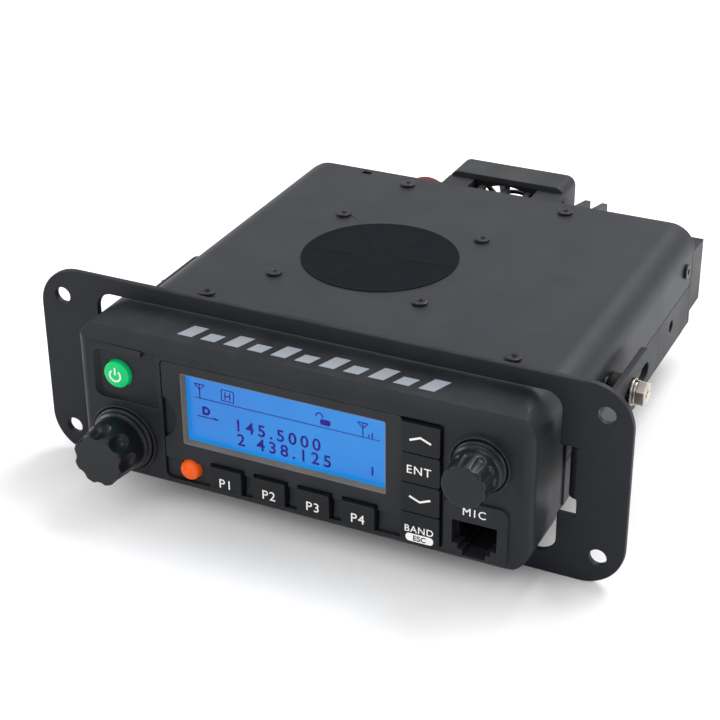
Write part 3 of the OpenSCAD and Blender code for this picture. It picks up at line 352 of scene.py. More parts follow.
@dataclass(frozen=True)
class Finish:
    """A solid finish: colour and gloss, with grain, worn edges, smudges and dust."""

    name: str
    colour: Colour
    gloss: tuple[float, float] = (0.4, 0.5)
    metallic: float = 0.0
    grain: float = 0.0
    grain_scale: float = 3000.0
    sharpness: float = 0.5
    brush: float = 0.0
    wear: float = 0.0
    wear_colour: Colour = (0.25, 0.25, 0.26)
    dust: float = 0.0
    tint: float = 0.12
    coat: float = 0.0
    specular: float = 0.22

    def start(self) -> tuple[Material, Graph, Node]:
        """Makes an empty material.

        Returns:
            The material, its graph and its Principled node.
        """
        material = bpy.data.materials.new(self.name)
        material.use_nodes = True
        graph = Graph(material.node_tree)
        shader = material.node_tree.nodes["Principled BSDF"]
        material.diffuse_color = (*self.colour, 1.0)
        return material, graph, shader

    def make(self) -> Material:
        """Builds the material.

        Returns:
            The material.
        """
        material, graph, shader = self.start()
        grain = SHELF.place(graph, Effect.GRAIN, Scale=self.grain_scale, Sharpness=self.sharpness)
        light = tuple(min(1.0, part * (1 + self.tint)) for part in self.colour)
        dark = tuple(part * (1 - self.tint) for part in self.colour)
        colour = graph.mix(grain.outputs["Mottle"], (*dark, 1.0), (*light, 1.0))
        smudge = SHELF.place(graph, Effect.SMUDGE, Low=self.gloss[0], High=self.gloss[1])
        rough = smudge.outputs["Roughness"]
        if self.wear:
            worn = SHELF.place(graph, Effect.WEAR, Amount=self.wear).outputs["Wear"]
            colour = graph.mix(worn, colour, (*self.wear_colour, 1.0))
        if self.dust:
            dusty = SHELF.place(graph, Effect.DUST, Amount=self.dust).outputs["Dust"]
            colour = graph.mix(dusty, colour, DUST_COLOUR)
            rough = graph.math("ADD", rough, graph.math("MULTIPLY", dusty, 0.5), clamp=True)
        graph.feed(shader.inputs["Base Color"], colour)
        graph.feed(shader.inputs["Roughness"], rough)
        shader.inputs["Metallic"].default_value = self.metallic
        shader.inputs["Specular IOR Level"].default_value = self.specular
        shader.inputs["Coat Weight"].default_value = self.coat
        shader.inputs["Coat Roughness"].default_value = 0.15
        if self.grain or self.brush:
            height = grain.outputs["Height"]
            if self.brush:
                height = SHELF.place(graph, Effect.BRUSH).outputs["Height"]
            depth = max(self.grain, self.brush) * MM
            bump = graph.add("Bump", Strength=0.6, Distance=depth, Height=height)
            graph.feed(shader.inputs["Normal"], bump.outputs["Normal"])
        return material


@dataclass(frozen=True)
class ClothFinish(Finish):
    """Woven speaker cloth with dark gaps between its threads."""

    threads: float = 1500.0

    def make(self) -> Material:
        """Builds the material."""
        material, graph, shader = self.start()
        weave = SHELF.place(graph, Effect.WEAVE, Threads=self.threads)
        grain = SHELF.place(graph, Effect.GRAIN, Scale=1200.0)
        light = tuple(part * 1.25 for part in self.colour)
        colour = graph.mix(grain.outputs["Mottle"], (*self.colour, 1.0), (*light, 1.0))
        gap = graph.math("MULTIPLY", weave.outputs["Gap"], 0.7)
        graph.feed(shader.inputs["Base Color"], graph.mix(gap, colour, GAP_COLOUR))
        rough = graph.remap(grain.outputs["Mottle"], 0.0, 1.0, self.gloss[0], self.gloss[1])
        graph.feed(shader.inputs["Roughness"], rough)
        shader.inputs["Specular IOR Level"].default_value = self.specular
        height = weave.outputs["Height"]
        bump = graph.add("Bump", Strength=0.7, Distance=self.grain * MM, Height=height)
        graph.feed(shader.inputs["Normal"], bump.outputs["Normal"])
        return material


@dataclass(frozen=True)
class ClearFinish(Finish):
    """Clear moulded window."""

    def make(self) -> Material:
        """Builds the material."""
        material, graph, shader = self.start()
        shader.inputs["Base Color"].default_value = (*self.colour, 1.0)
        shader.inputs["Transmission Weight"].default_value = 1.0
        shader.inputs["IOR"].default_value = WINDOW_IOR
        smudge = SHELF.place(graph, Effect.SMUDGE, Low=self.gloss[0], High=self.gloss[1], Scale=90.0)
        graph.feed(shader.inputs["Roughness"], smudge.outputs["Roughness"])
        return material


@dataclass(frozen=True)
class BacklitFinish(Finish):
    """Backlit display: an even glow that is paler along its edges."""

    glow: Colour = (0.0, 0.185, 0.64)
    edge_glow: Colour = (0.01, 0.33, 0.82)
    strength: float = 1.0
    low: Point = (0.0, 0.0)
    high: Point = (1.0, 1.0)

    def make(self) -> Material:
        """Builds the material."""
        material, graph, shader = self.start()
        split = graph.add("SeparateXYZ", Vector=graph.object_place())
        nearest: object = None
        for axis, low, high in (("X", self.low[0], self.high[0]), ("Z", self.low[1], self.high[1])):
            for side, sign in ((low, 1.0), (high, -1.0)):
                gap = graph.math("SUBTRACT", split.outputs[axis], side)
                away = graph.math("MULTIPLY", gap, sign)
                nearest = away if nearest is None else graph.math("MINIMUM", nearest, away)
        rim = graph.remap(nearest, 0.0002, 0.0032, 1.0, 0.0)
        slow = graph.add("TexNoise", Vector=graph.object_place(), Scale=35.0, Detail=2.0)
        spread = graph.math("MULTIPLY", graph.remap(slow.outputs["Fac"], 0.35, 0.7), 0.35)
        share = graph.math("ADD", graph.math("MULTIPLY", rim, 0.8), spread, clamp=True)
        colour = graph.mix(share, (*self.glow, 1.0), (*self.edge_glow, 1.0))
        graph.feed(shader.inputs["Emission Color"], colour)
        shader.inputs["Base Color"].default_value = (*self.colour, 1.0)
        shader.inputs["Emission Strength"].default_value = self.strength
        rough = graph.remap(slow.outputs["Fac"], 0.3, 0.7, self.gloss[0], self.gloss[1])
        graph.feed(shader.inputs["Roughness"], rough)
        return material


@dataclass(frozen=True)
class LitFinish(Finish):
    """Coloured translucent moulding with a little light behind it."""

    glow: Colour = (0.0, 0.5, 0.2)
    strength: float = 0.3

    def make(self) -> Material:
        """Builds the material."""
        material = super().make()
        shader = material.node_tree.nodes["Principled BSDF"]
        shader.inputs["Emission Color"].default_value = (*self.glow, 1.0)
        shader.inputs["Emission Strength"].default_value = self.strength
        shader.inputs["Subsurface Weight"].default_value = 0.15
        shader.inputs["Subsurface Scale"].default_value = 0.001
        return material


def finishes() -> dict[str, Finish]:
    """Every finish, keyed by the record's material slot.

    Returns:
        The finishes.
    """
    low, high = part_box("lcd_panel")
    listed = (
        Finish(
            "plate_paint", (0.0085, 0.01, 0.0145), (0.46, 0.54), grain=0.025, grain_scale=3600, wear=0.35,
            wear_colour=(0.12, 0.12, 0.13), dust=0.12,
        ),
        Finish(
            "bolt_steel", (0.47, 0.43, 0.39), (0.26, 0.4), 1.0, brush=0.02, wear=0.4,
            wear_colour=(0.6, 0.57, 0.52), tint=0.35,
        ),
        Finish("black_rubber", grey(0.015), (0.6, 0.75), grain=0.02),
        Finish(
            "housing_plastic", (0.0115, 0.0128, 0.0165), (0.42, 0.54), grain=0.02, grain_scale=4200,
            wear=0.3, wear_colour=(0.11, 0.11, 0.12), dust=0.1,
        ),
        Finish(
            "fascia_plastic", (0.014, 0.0155, 0.0205), (0.4, 0.5), grain=0.012, grain_scale=5200, wear=0.3,
            wear_colour=(0.09, 0.09, 0.1),
        ),
        ClearFinish("window_clear", (0.96, 0.98, 1.0), (0.02, 0.06)),
        BacklitFinish(
            "lcd_blue", (0.001, 0.006, 0.02), (0.3, 0.4), low=(low.x, low.z), high=(high.x, high.z),
        ),
        Finish("frame_grey", (0.16, 0.155, 0.145), (0.4, 0.5), grain=0.01),
        Finish("diffuser_white", (0.7, 0.78, 0.82), (0.4, 0.5), grain=0.01),
        Finish("board_green", (0.012, 0.09, 0.035), (0.25, 0.35), grain=0.015, grain_scale=900, tint=0.3),
        Finish("zinc_steel", grey(0.35), (0.3, 0.45), 1.0, brush=0.02, tint=0.2),
        Finish("switch_white", (0.5, 0.5, 0.46), (0.45, 0.55), grain=0.01),
        Finish("bright_metal", grey(0.5), (0.22, 0.36), 1.0, brush=0.015, tint=0.15),
        Finish("black_plastic", grey(0.009), (0.38, 0.5), grain=0.015, grain_scale=3600),
        Finish("gold_contact", (0.7, 0.5, 0.16), (0.2, 0.3), 1.0, brush=0.01),
        Finish("ribbon_white", (0.55, 0.52, 0.45), (0.4, 0.5), brush=0.03),
        Finish(
            "black_steel", (0.02, 0.02, 0.021), (0.28, 0.42), 0.4, grain=0.012, wear=0.8,
            wear_colour=(0.25, 0.24, 0.22), dust=0.1,
        ),
        Finish(
            "casting_black", (0.016, 0.017, 0.0205), (0.42, 0.56), grain=0.035, grain_scale=2200,
            wear=0.35, wear_colour=(0.14, 0.14, 0.15), dust=0.18,
        ),
        Finish(
            "cover_paint", (0.0175, 0.0195, 0.0255), (0.43, 0.48), grain=0.03, grain_scale=3400, wear=0.4,
            wear_colour=(0.12, 0.12, 0.13), dust=0.04, tint=0.05,
        ),
        Finish("cone_paper", grey(0.01), (0.7, 0.8), grain=0.03),
        Finish("magnet_grey", grey(0.05), (0.5, 0.6), grain=0.03),
        ClothFinish("cloth_black", (0.0065, 0.0075, 0.0105), (0.75, 0.85), grain=0.05, specular=0.06),
        Finish(
            "shroud_black", (0.017, 0.0185, 0.022), (0.4, 0.52), grain=0.02, wear=0.3,
            wear_colour=(0.11, 0.11, 0.12), dust=0.15,
        ),
        Finish("nickel_plate", (0.6, 0.58, 0.54), (0.16, 0.28), 1.0, brush=0.01, tint=0.1),
        Finish("insulator_white", (0.7, 0.68, 0.6), (0.3, 0.4), grain=0.005),
        Finish("cap_red", (0.16, 0.012, 0.01), (0.5, 0.62), grain=0.02),
        Finish(
            "knob_rubber", (0.0055, 0.0065, 0.009), (0.32, 0.42), grain=0.012, grain_scale=4200, wear=0.5,
            wear_colour=(0.08, 0.08, 0.085), coat=0.1,
        ),
        LitFinish("button_green", (0.002, 0.42, 0.11), (0.3, 0.4), grain=0.008, strength=0.22),
        LitFinish(
            "button_orange", (0.72, 0.09, 0.008), (0.32, 0.42), grain=0.008, glow=(0.9, 0.13, 0.01),
            strength=0.14,
        ),
        Finish(
            "key_black", (0.0065, 0.0073, 0.009), (0.42, 0.54), grain=0.015, grain_scale=4600, wear=0.35,
            wear_colour=(0.07, 0.07, 0.075),
        ),
        Finish("legend_white", (0.8, 0.8, 0.79), (0.4, 0.5), tint=0.05, grain=0.004),
        Finish("mark_grey", (0.25, 0.27, 0.3), (0.4, 0.5), tint=0.05, grain=0.004),
        Finish("lcd_ink", (0.035, 0.012, 0.26), (0.5, 0.6), tint=0.2, specular=0.05),
    )
    return {finish.name: finish for finish in listed}


class Wardrobe:
    """Makes each finish's material once and gives it to nodes and pieces."""

    def __init__(self) -> None:
        """Builds every material."""
        self.materials = {slot: finish.make() for slot, finish in finishes().items()}
        self.slot_of = {part["node"]: part["material_slot"] for part in frame["record"]["subparts"]}

    def dress(self, piece: Object, slot: str) -> None:
        """Gives a piece the slot's material only."""
        piece.data.materials.clear()
        piece.data.materials.append(self.materials[slot])

    def dress_node(self, node: str) -> Object:
        """Gives a CAD node its record's material.

        Args:
            node: The node's name.

        Returns:
            The node's object.
        """
        piece = frame["nodes"][node]
        self.dress(piece, self.slot_of[node])
        return piece


WARDROBE = Wardrobe()


# ------------------------------------------------------------------ mesh helpers


def body_of(node: str) -> str:
    """The name of the CAD body that holds a node."""
    bodies = frame["record"]["behaviour"]["bodies"]
    return next(name for name, members in bodies.items() if node in members)


def soften(node: str, width: float, segments: int = 2, merge: bool = True) -> Object:
    """Rounds a CAD node's edges with modifiers and gives it its finish.

    Args:
        node: The node's name.
        width: Width of the rounding, in millimetres.
        segments: Faces across the rounding.
        merge: Whether flat neighbours are joined first; a wall with many openings stays split.

    Returns:
        The node's object.
    """
    piece = WARDROBE.dress_node(node)
    mesh = piece.data
    for name in ("custom_normal", "sharp_edge", "sharp_face"):
        layer = mesh.attributes.get(name)
        if layer is not None:
            mesh.attributes.remove(layer)
    weld = piece.modifiers.new("Weld", "WELD")
    weld.merge_threshold = WELD_GAP * MM
    if merge:
        planar = piece.modifiers.new("Planar", "DECIMATE")
        planar.decimate_type = "DISSOLVE"
        planar.angle_limit = math.radians(FLAT_ANGLE)
    bevel = piece.modifiers.new("Rounded", "BEVEL")
    bevel.width = width * MM
    bevel.segments = segments
    bevel.limit_method = "ANGLE"
    bevel.angle_limit = math.radians(SHARP_ANGLE)
    bevel.use_clamp_overlap = False
    bevel.miter_outer = "MITER_ARC"
    normals = piece.modifiers.new("Normals", "WEIGHTED_NORMAL")
    normals.keep_sharp = False
    return piece


def housing_face() -> float:
    """Depth of the front housing's flat face."""
    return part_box("display_fascia")[0].y - 0.2 * MM


def finish_piece(name: str, build: Mesh, slot: str, body: str, smooth: float = 40.0) -> Object:
    """Turns a bmesh into a piece that rides on a body.

    Args:
        name: The piece's name.
        build: The mesh; it is freed.
        slot: The record's material slot.
        body: The CAD body that it rides on.
        smooth: Largest angle that is shaded smooth, in degrees.

    Returns:
        The piece.
    """
    bmesh.ops.recalc_face_normals(build, faces=build.faces)
    mesh = bpy.data.meshes.new(name)
    build.to_mesh(mesh)
    build.free()
    mesh.polygons.foreach_set("use_smooth", [True] * len(mesh.polygons))
    mesh.set_sharp_from_angle(angle=math.radians(smooth))
    piece = bpy.data.objects.new(name, mesh)
    bpy.context.scene.collection.objects.link(piece)
    WARDROBE.dress(piece, slot)
    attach(piece, body)
    return piece


def stitch(build: Mesh, first: Sequence[Vert], second: Sequence[Vert]) -> None:
    """Joins two closed rings of vertices, or a ring and a single vertex."""
    count = max(len(first), len(second))
    for step in range(count):
        following = (step + 1) % count
        if len(first) == 1:
            build.faces.new((first[0], second[step], second[following]))
        elif len(second) == 1:
            build.faces.new((first[step], second[0], first[following]))
        else:
            build.faces.new((first[step], second[step], second[following], first[following]))


def slab(build: Mesh, near: Sequence[Vert], far: Sequence[Vert]) -> None:
    """Closes a solid between two matching faces."""
    build.faces.new(near)
    build.faces.new(far[::-1])
    stitch(build, near, far)


def revolve(
    profile: Sequence[Point],
    steps: int,
    shape: Callable[[float, float, float], float] | None = None,
) -> Mesh:
    """A body of revolution about the Y axis through the origin.

    Args:
        profile: (depth, radius) points from front to back; a zero radius closes an end.
        steps: Points round the axis.
        shape: Changes a radius, given depth, radius and angle.

    Returns:
        The mesh.
    """
    build = bmesh.new()
    rings: list[list[Vert]] = []
    for depth, radius in profile:
        if radius <= 0:
            rings.append([build.verts.new((0, depth, 0))])
            continue
        ring = []
        for step in range(steps):
            turn = 2 * math.pi * step / steps
            reach = shape(depth, radius, turn) if shape else radius
            ring.append(build.verts.new((reach * math.cos(turn), depth, reach * math.sin(turn))))
        rings.append(ring)
    for first, second in zip(rings, rings[1:]):
        stitch(build, first, second)
    return build


def panel(build: Mesh, outline: Sequence[Point], front: float, back: float) -> None:
    """Adds a flat shape that faces the front.

    Args:
        build: The mesh it goes into.
        outline: (x, z) corners, anticlockwise from the front.
        front: Depth of its front face.
        back: Depth of its rear face.
    """
    near = [build.verts.new((x, front, z)) for x, z in outline]
    far = [build.verts.new((x, back, z)) for x, z in outline]
    slab(build, near, far)


def rounded_outline(low: Point, high: Point, radius: float, steps: int = 8) -> list[Point]:
    """Corners of a rounded rectangle.

    Args:
        low: Lower left corner.
        high: Upper right corner.
        radius: Corner radius.
        steps: Points round each corner.

    Returns:
        The outline, anticlockwise.
    """
    points = []
    left, right = low[0] + radius, high[0] - radius
    lower, upper = low[1] + radius, high[1] - radius
    centres = ((right, upper), (left, upper), (left, lower), (right, lower))
    for corner, (x, z) in enumerate(centres):
        for step in range(steps + 1):
            turn = math.pi / 2 * (corner + step / steps)
            points.append((x + radius * math.cos(turn), z + radius * math.sin(turn)))
    return points


def stroke(path: Sequence[Point], width: float) -> list[Point]:
    """Outline of an open line of one width.

    Args:
        path: The line's points.
        width: The line's width.

    Returns:
        The outline.
    """
    left, right = [], []
    for index, point in enumerate(path):
        before = Vector(path[max(index - 1, 0)])
        after = Vector(path[min(index + 1, len(path) - 1)])
        along = (after - before).normalized()
        side = Vector((-along.y, along.x)) * width / 2
        left.append((point[0] + side.x, point[1] + side.y))
        right.append((point[0] - side.x, point[1] - side.y))
    return left + right[::-1]


def lettering(
    text: str, size: float, centre: Point, bold: float = 0.0, thick: float = 0.04, spacing: float = 1.0
) -> Mesh:
    """Raised print that faces the front, with its rear face at depth 0.

    Args:
        text: The characters.
        size: Height of a capital, in millimetres.
        centre: Where its middle goes, as (x, z) in metres.
        bold: Extra weight of the strokes, in millimetres.
        thick: Height of the print, in millimetres.
        spacing: Space between characters, as a share of the usual one.

    Returns:
        The mesh.
    """
    curve = bpy.data.curves.new("print", "FONT")
    curve.body = text
    curve.size = size / CAPITAL_SHARE * MM
    curve.align_x = "CENTER"
    curve.offset = bold * MM / 2
    curve.space_character = spacing
    curve.extrude = thick * MM / 2
    curve.resolution_u = 6
    holder = bpy.data.objects.new("print", curve)
    bpy.context.scene.collection.objects.link(holder)
    bpy.context.view_layer.update()
    mesh = bpy.data.meshes.new_from_object(holder)
    bpy.data.objects.remove(holder)
    build = bmesh.new()
    build.from_mesh(mesh)
    bpy.data.meshes.remove(mesh)
    where = Matrix.Translation((centre[0], -thick * MM / 2, centre[1] - size * MM / 2))
    place = where @ Matrix.Rotation(math.pi / 2, 4, "X")
    bmesh.ops.transform(build, matrix=place, verts=build.verts)
    bmesh.ops.remove_doubles(build, verts=build.verts, dist=1e-7)
    return build


def shift(build: Mesh, move: Vector) -> Mesh:
    """Moves a whole mesh and returns it."""
    bmesh.ops.translate(build, verts=build.verts, vec=move)
    return build


# ------------------------------------------------------------------ sub-assemblies


@dataclass
class PanelPlate:
    """The mounting plate with its ears, bolts and washers."""

    edge: float = 0.35

    def build(self) -> None:
        """Rounds the punched edges and the bolt heads."""
        soften("mounting_plate", self.edge, 3)
        soften("ear_bolts", 0.3, 2)
        soften("ear_lock_washers", 0.12)
        soften("ear_flat_washers", 0.12)
        soften("ear_spacers", 0.2)


@dataclass
class FrontHousing:
    """The moulded front housing, its fascia and the generic mark on its top."""

    mark_bars: int = 11
    mark_pitch: float = 7.4
    mark_x: float = -41.0
    bar_start: float = 3.0
    bar_width: float = 4.6
    bar_lengths: Point = (5.2, 3.4)
    slant: float = 0.55

    def build(self) -> None:
        """Rounds the mouldings, lines the window and prints the mark."""
        soften("front_housing", 0.12, 2, merge=False)
        soften("display_fascia", 0.12, 2)
        self._liner()
        self._mark()

    def _liner(self) -> None:
        """A thin grey lining round the display's opening."""
        low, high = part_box("display_fascia")
        lens_low, lens_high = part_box("display_window")
        edge, wall = 1.2 * MM, 0.22 * MM
        outer_low = (lens_low.x + edge, lens_low.z + edge)
        outer_high = (lens_high.x - edge, lens_high.z - edge)
        front, back = low.y + 0.15 * MM, lens_low.y - 0.01 * MM
        build = bmesh.new()
        outer = rounded_outline(outer_low, outer_high, 0.6 * MM, 4)
        lip_low = (outer_low[0] + wall, outer_low[1] + wall)
        inner_low = (outer_low[0] + wall * 4, outer_low[1] + wall * 4)
        inner_high = (outer_high[0] - wall, outer_high[1] - wall)
        inner = rounded_outline(inner_low, inner_high, 0.4 * MM, 4)
        lip = rounded_outline(lip_low, inner_high, 0.5 * MM, 4)
        placed = ((outer, front), (lip, front), (inner, back), (outer, back))
        rings = [[build.verts.new((x, depth, z)) for x, z in ring] for ring, depth in placed]
        for first, second in zip(rings, rings[1:] + rings[:1]):
            for index in range(len(first)):
                following = (index + 1) % len(first)
                build.faces.new((first[index], first[following], second[following], second[index]))
        finish_piece("window_liner", build, "frame_grey", "chassis")

    def _mark(self) -> None:
        """Slanted bars on the housing's sloping top, in place of any name."""
        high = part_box("front_housing")[1]
        near = Vector((0, housing_face() + 2.4 * MM, high.z - 1.9 * MM))
        far = Vector((0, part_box("mounting_plate")[0].y, high.z))
        slope = (far - near).normalized()
        raise_by = Vector((0, -slope.z, slope.y)) * 0.05 * MM
        build = bmesh.new()
        for index in range(self.mark_bars):
            x0 = (self.mark_x + index * self.mark_pitch) * MM
            end = self.bar_start + self.bar_lengths[index % 2]
            outline = (
                (0, self.bar_start), (self.bar_width, self.bar_start), (self.bar_width, end), (0, end)
            )
            corners = []
            for across, along in outline:
                spot = near + slope * along * MM
                corners.append(Vector((x0 + across * MM + along * self.slant * MM, spot.y, spot.z)))
            top = [build.verts.new(corner + raise_by) for corner in corners]
            base = [build.verts.new(corner - raise_by) for corner in corners]
            slab(build, top, base)
        finish_piece("top_mark", build, "mark_grey", "chassis")


@dataclass
class Display:
    """The liquid crystal panel and what it shows."""

    ink: float = 0.04

    def build(self) -> None:
        """Dresses the panel and draws its characters and icons."""
        for node in ("display_window", "lcd_panel", "lcd_frame", "backlight"):
            WARDROBE.dress_node(node)
        self.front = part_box("lcd_panel")[0].y - 0.02 * MM
        self._line()
        self._icons()
        self._rows()

    def _add(self, name: str, build: Mesh) -> None:
        """Puts a drawn item on the panel's face."""
        finish_piece(name, build, "lcd_ink", "chassis")

    def _draw(self, build: Mesh, outline: Sequence[Point]) -> None:
        """Draws one shape in ink, given its outline in millimetres."""
        corners = [(x * MM, z * MM) for x, z in outline]
        panel(build, corners, self.front - self.ink * MM, self.front)

    def _text(
        self, name: str, text: str, size: float, x: float, z: float, bold: float = 0.05, spacing: float = 1.15
    ) -> None:
        """Writes characters on the panel.

        Args:
            name: The piece's name.
            text: The characters.
            size: Height, in millimetres.
            x: Middle, in millimetres.
            z: Middle, in millimetres.
            bold: Extra weight, in millimetres.
            spacing: Character spacing.
        """
        build = lettering(text, size, (x * MM, z * MM), bold, self.ink, spacing)
        self._add(name, shift(build, Vector((0, self.front, 0))))

    def _line(self) -> None:
        """The thin rule under the icons."""
        build = bmesh.new()
        self._draw(build, [(-33.2, 6.0), (24.6, 6.0), (24.6, 6.25), (-33.2, 6.25)])
        self._add("lcd_rule", build)

    def _icons(self) -> None:
        """Antennas, padlock and arrow."""
        build = bmesh.new()
        for x, z in ((-31.4, 6.3), (19.6, 6.3)):
            mast = ((x, z), (x, z + 4.4))
            arms = ((x - 1.5, z + 4.2), (x, z + 2.6), (x + 1.5, z + 4.2))
            bar = ((x - 1.6, z + 4.3), (x + 1.6, z + 4.3))
            for path in (mast, arms, bar):
                self._draw(build, stroke(path, 0.32))
        for x, height in ((21.4, 0.9), (22.4, 1.7)):
            left, right, low, high = x - 0.2, x + 0.2, 6.4, 6.4 + height
            self._draw(build, [(left, low), (right, low), (right, high), (left, high)])
        self._add("lcd_antennas", build)
        build = bmesh.new()
        self._draw(build, rounded_outline((6.6, 6.9), (9.8, 8.7), 0.6))
        turns = [step / 8 * math.pi for step in range(9)]
        arch = [(6.4 + 1.1 * math.cos(turn), 9.2 + 1.3 * math.sin(turn)) for turn in turns]
        self._draw(build, stroke(arch, 0.4))
        self._add("lcd_padlock", build)
        build = bmesh.new()
        self._draw(build, stroke(((-32.6, 0.2), (-26.4, 0.2)), 0.35))
        self._draw(build, [(-26.6, -0.1), (-25.4, 0.2), (-27.4, 0.9)])
        box = rounded_outline((-24.4, 7.0), (-20.4, 10.6), 0.1, 2)
        for first, second in zip(box[::3], box[3::3] + box[:1]):
            self._draw(build, stroke((first, second), 0.3))
        self._add("lcd_arrow", build)
        self._text("lcd_h", "H", 2.4, -22.4, 8.8)
        self._text("lcd_d", "D", 2.5, -29.6, 2.4, 0.45)

    def _rows(self) -> None:
        """Generic channel numbers."""
        self._text("lcd_row_1", "145.5000", 3.9, -7.0, 0.2, 0.16, 1.4)
        self._text("lcd_row_2", "2 438.125", 3.9, -5.0, -4.4, 0.16, 1.4)
        self._text("lcd_number", "1", 2.9, 22.4, -4.0, 0.14)


@dataclass
class KeyPad:
    """Function keys, side keys and their printed legends."""

    edge: float = 0.2
    print_height: float = 0.04

    def build(self) -> None:
        """Rounds the keys and prints each legend."""
        keys = [node for node in frame["nodes"] if node.startswith("key_") or node.endswith("_key")]
        for key in sorted(keys):
            soften(key, self.edge, 3)
        for index in range(1, 5):
            self._print(f"key_p{index}", f"P{index}", 3.05, 0.0, -0.9, 0.02, 1.12)
        self._print("enter_key", "ENT", 2.65, -0.4, -0.2, 0.02, 1.15)
        self._chevron("up_key", 1)
        self._chevron("down_key", -1)
        self._print("escape_key", "BAND", 2.2, -0.2, -0.4, 0.04, 1.1)
        self._badge("escape_key", "ESC", -3.2)

    def _centre(self, key: str) -> Vector:
        """Middle of a key's front face."""
        low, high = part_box(key)
        return Vector(((low.x + high.x) / 2, low.y, (low.z + high.z) / 2))

    def _print(
        self,
        key: str,
        text: str,
        size: float,
        x: float,
        z: float,
        bold: float,
        spacing: float = 1.0,
        slot: str = "legend_white",
        lift: float = 0.0,
    ) -> None:
        """Prints characters on a key.

        Args:
            key: The key's node.
            text: The characters.
            size: Height, in millimetres.
            x: Offset from the key's middle, in millimetres.
            z: Offset from the key's middle, in millimetres.
            bold: Extra weight, in millimetres.
            spacing: Character spacing.
            slot: Material slot.
            lift: Distance in front of the key, in millimetres.
        """
        centre = self._centre(key)
        middle = (centre.x + x * MM, centre.z + z * MM)
        build = lettering(text, size, middle, bold, self.print_height, spacing)
        shift(build, Vector((0, centre.y + (PRINT_SINK - lift) * MM, 0)))
        finish_piece(f"legend_{key}_{text.lower()}", build, slot, body_of(key))

    def _chevron(self, key: str, way: int) -> None:
        """Prints an arrowhead that points up or down."""
        centre = self._centre(key)
        left, right = centre.x - 3.1 * MM, centre.x + 3.1 * MM
        foot, tip = centre.z - 0.6 * way * MM, centre.z + 0.7 * way * MM
        path = [(left, foot), (centre.x, tip), (right, foot)]
        build = bmesh.new()
        panel(build, stroke(path, 0.62 * MM), centre.y - self.print_height * MM, centre.y + PRINT_SINK * MM)
        finish_piece(f"legend_{key}", build, "legend_white", body_of(key))

    def _badge(self, key: str, text: str, z: float) -> None:
        """Prints dark characters on a white badge."""
        centre = self._centre(key)
        middle = centre.z + z * MM
        build = bmesh.new()
        low = (centre.x - 4.1 * MM, middle - 1.25 * MM)
        high = (centre.x + 4.1 * MM, middle + 1.25 * MM)
        outline = rounded_outline(low, high, 1.1 * MM)
        panel(build, outline, centre.y - self.print_height * MM, centre.y + PRINT_SINK * MM)
        finish_piece(f"badge_{key}", build, "legend_white", body_of(key))
        self._print(key, text, 1.7, 0.0, z, 0.1, 1.0, "key_black", self.print_height)


@dataclass
class DomedButton:
    """A round button with a crowned top."""

    node: str
    slot: str
    crown: float = 0.9
    rim: float = 0.5
    lip: float = 0.5
    stem_r: float = 1.2

    def build(self) -> Object:
        """Turns the button's cap and stem in one piece.

        Returns:
            The piece.
        """
        low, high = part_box(self.node)
        centre = (low + high) / 2
        lip_r = (high.x - low.x) / 2
        cap_r = lip_r - self.lip * MM
        front = low.y
        profile: list[Point] = [(front, 0.0)]
        for step in range(1, 9):
            share = step / 8
            drop = self.crown * MM * share ** 2.2
            profile.append((front + drop, (cap_r - self.rim * MM) * share))
        for step in range(1, 6):
            turn = step / 5 * math.pi / 2
            drop = (self.crown + self.rim * (1 - math.cos(turn))) * MM
            profile.append((front + drop, cap_r - self.rim * MM * (1 - math.sin(turn))))
        lip = max(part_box("display_fascia")[1].y, front + 3.1 * MM)
        under, stem = lip + 0.8 * MM, self.stem_r * MM
        profile += [(lip, cap_r), (lip, lip_r), (under, lip_r), (under, stem), (high.y, stem), (high.y, 0.0)]
        build = shift(revolve(profile, 72), Vector((centre.x, 0, centre.z)))
        piece = finish_piece(f"{self.node}_cap", build, self.slot, body_of(self.node))
        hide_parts(self.node)
        return piece


@dataclass
class PowerSymbol:
    """The ring and bar printed on the power button."""

    radius: float = 1.75
    width: float = 0.5

    def build(self) -> None:
        """Prints the symbol just proud of the crown."""
        low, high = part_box("power_button")
        centre = (low + high) / 2
        build = bmesh.new()
        path = []
        for step in range(33):
            turn = math.radians(128 + 284 * step / 32)
            x, z = self.radius * MM * math.cos(turn), self.radius * MM * math.sin(turn)
            path.append((centre.x + x, centre.z + z))
        outline = stroke(path, self.width * MM)
        half = len(outline) // 2
        pairs = list(zip(outline[:half], outline[half:][::-1]))
        for first, second in zip(pairs, pairs[1:]):
            corners = [first[0], first[1], second[1], second[0]]
            panel(build, corners, low.y - 0.02 * MM, low.y + 0.35 * MM)
        bar = ((centre.x, centre.z + 0.3 * MM), (centre.x, centre.z + 2.5 * MM))
        panel(build, stroke(bar, self.width * MM), low.y - 0.02 * MM, low.y + 0.3 * MM)
        finish_piece("power_symbol", build, "legend_white", "power_button", 30)


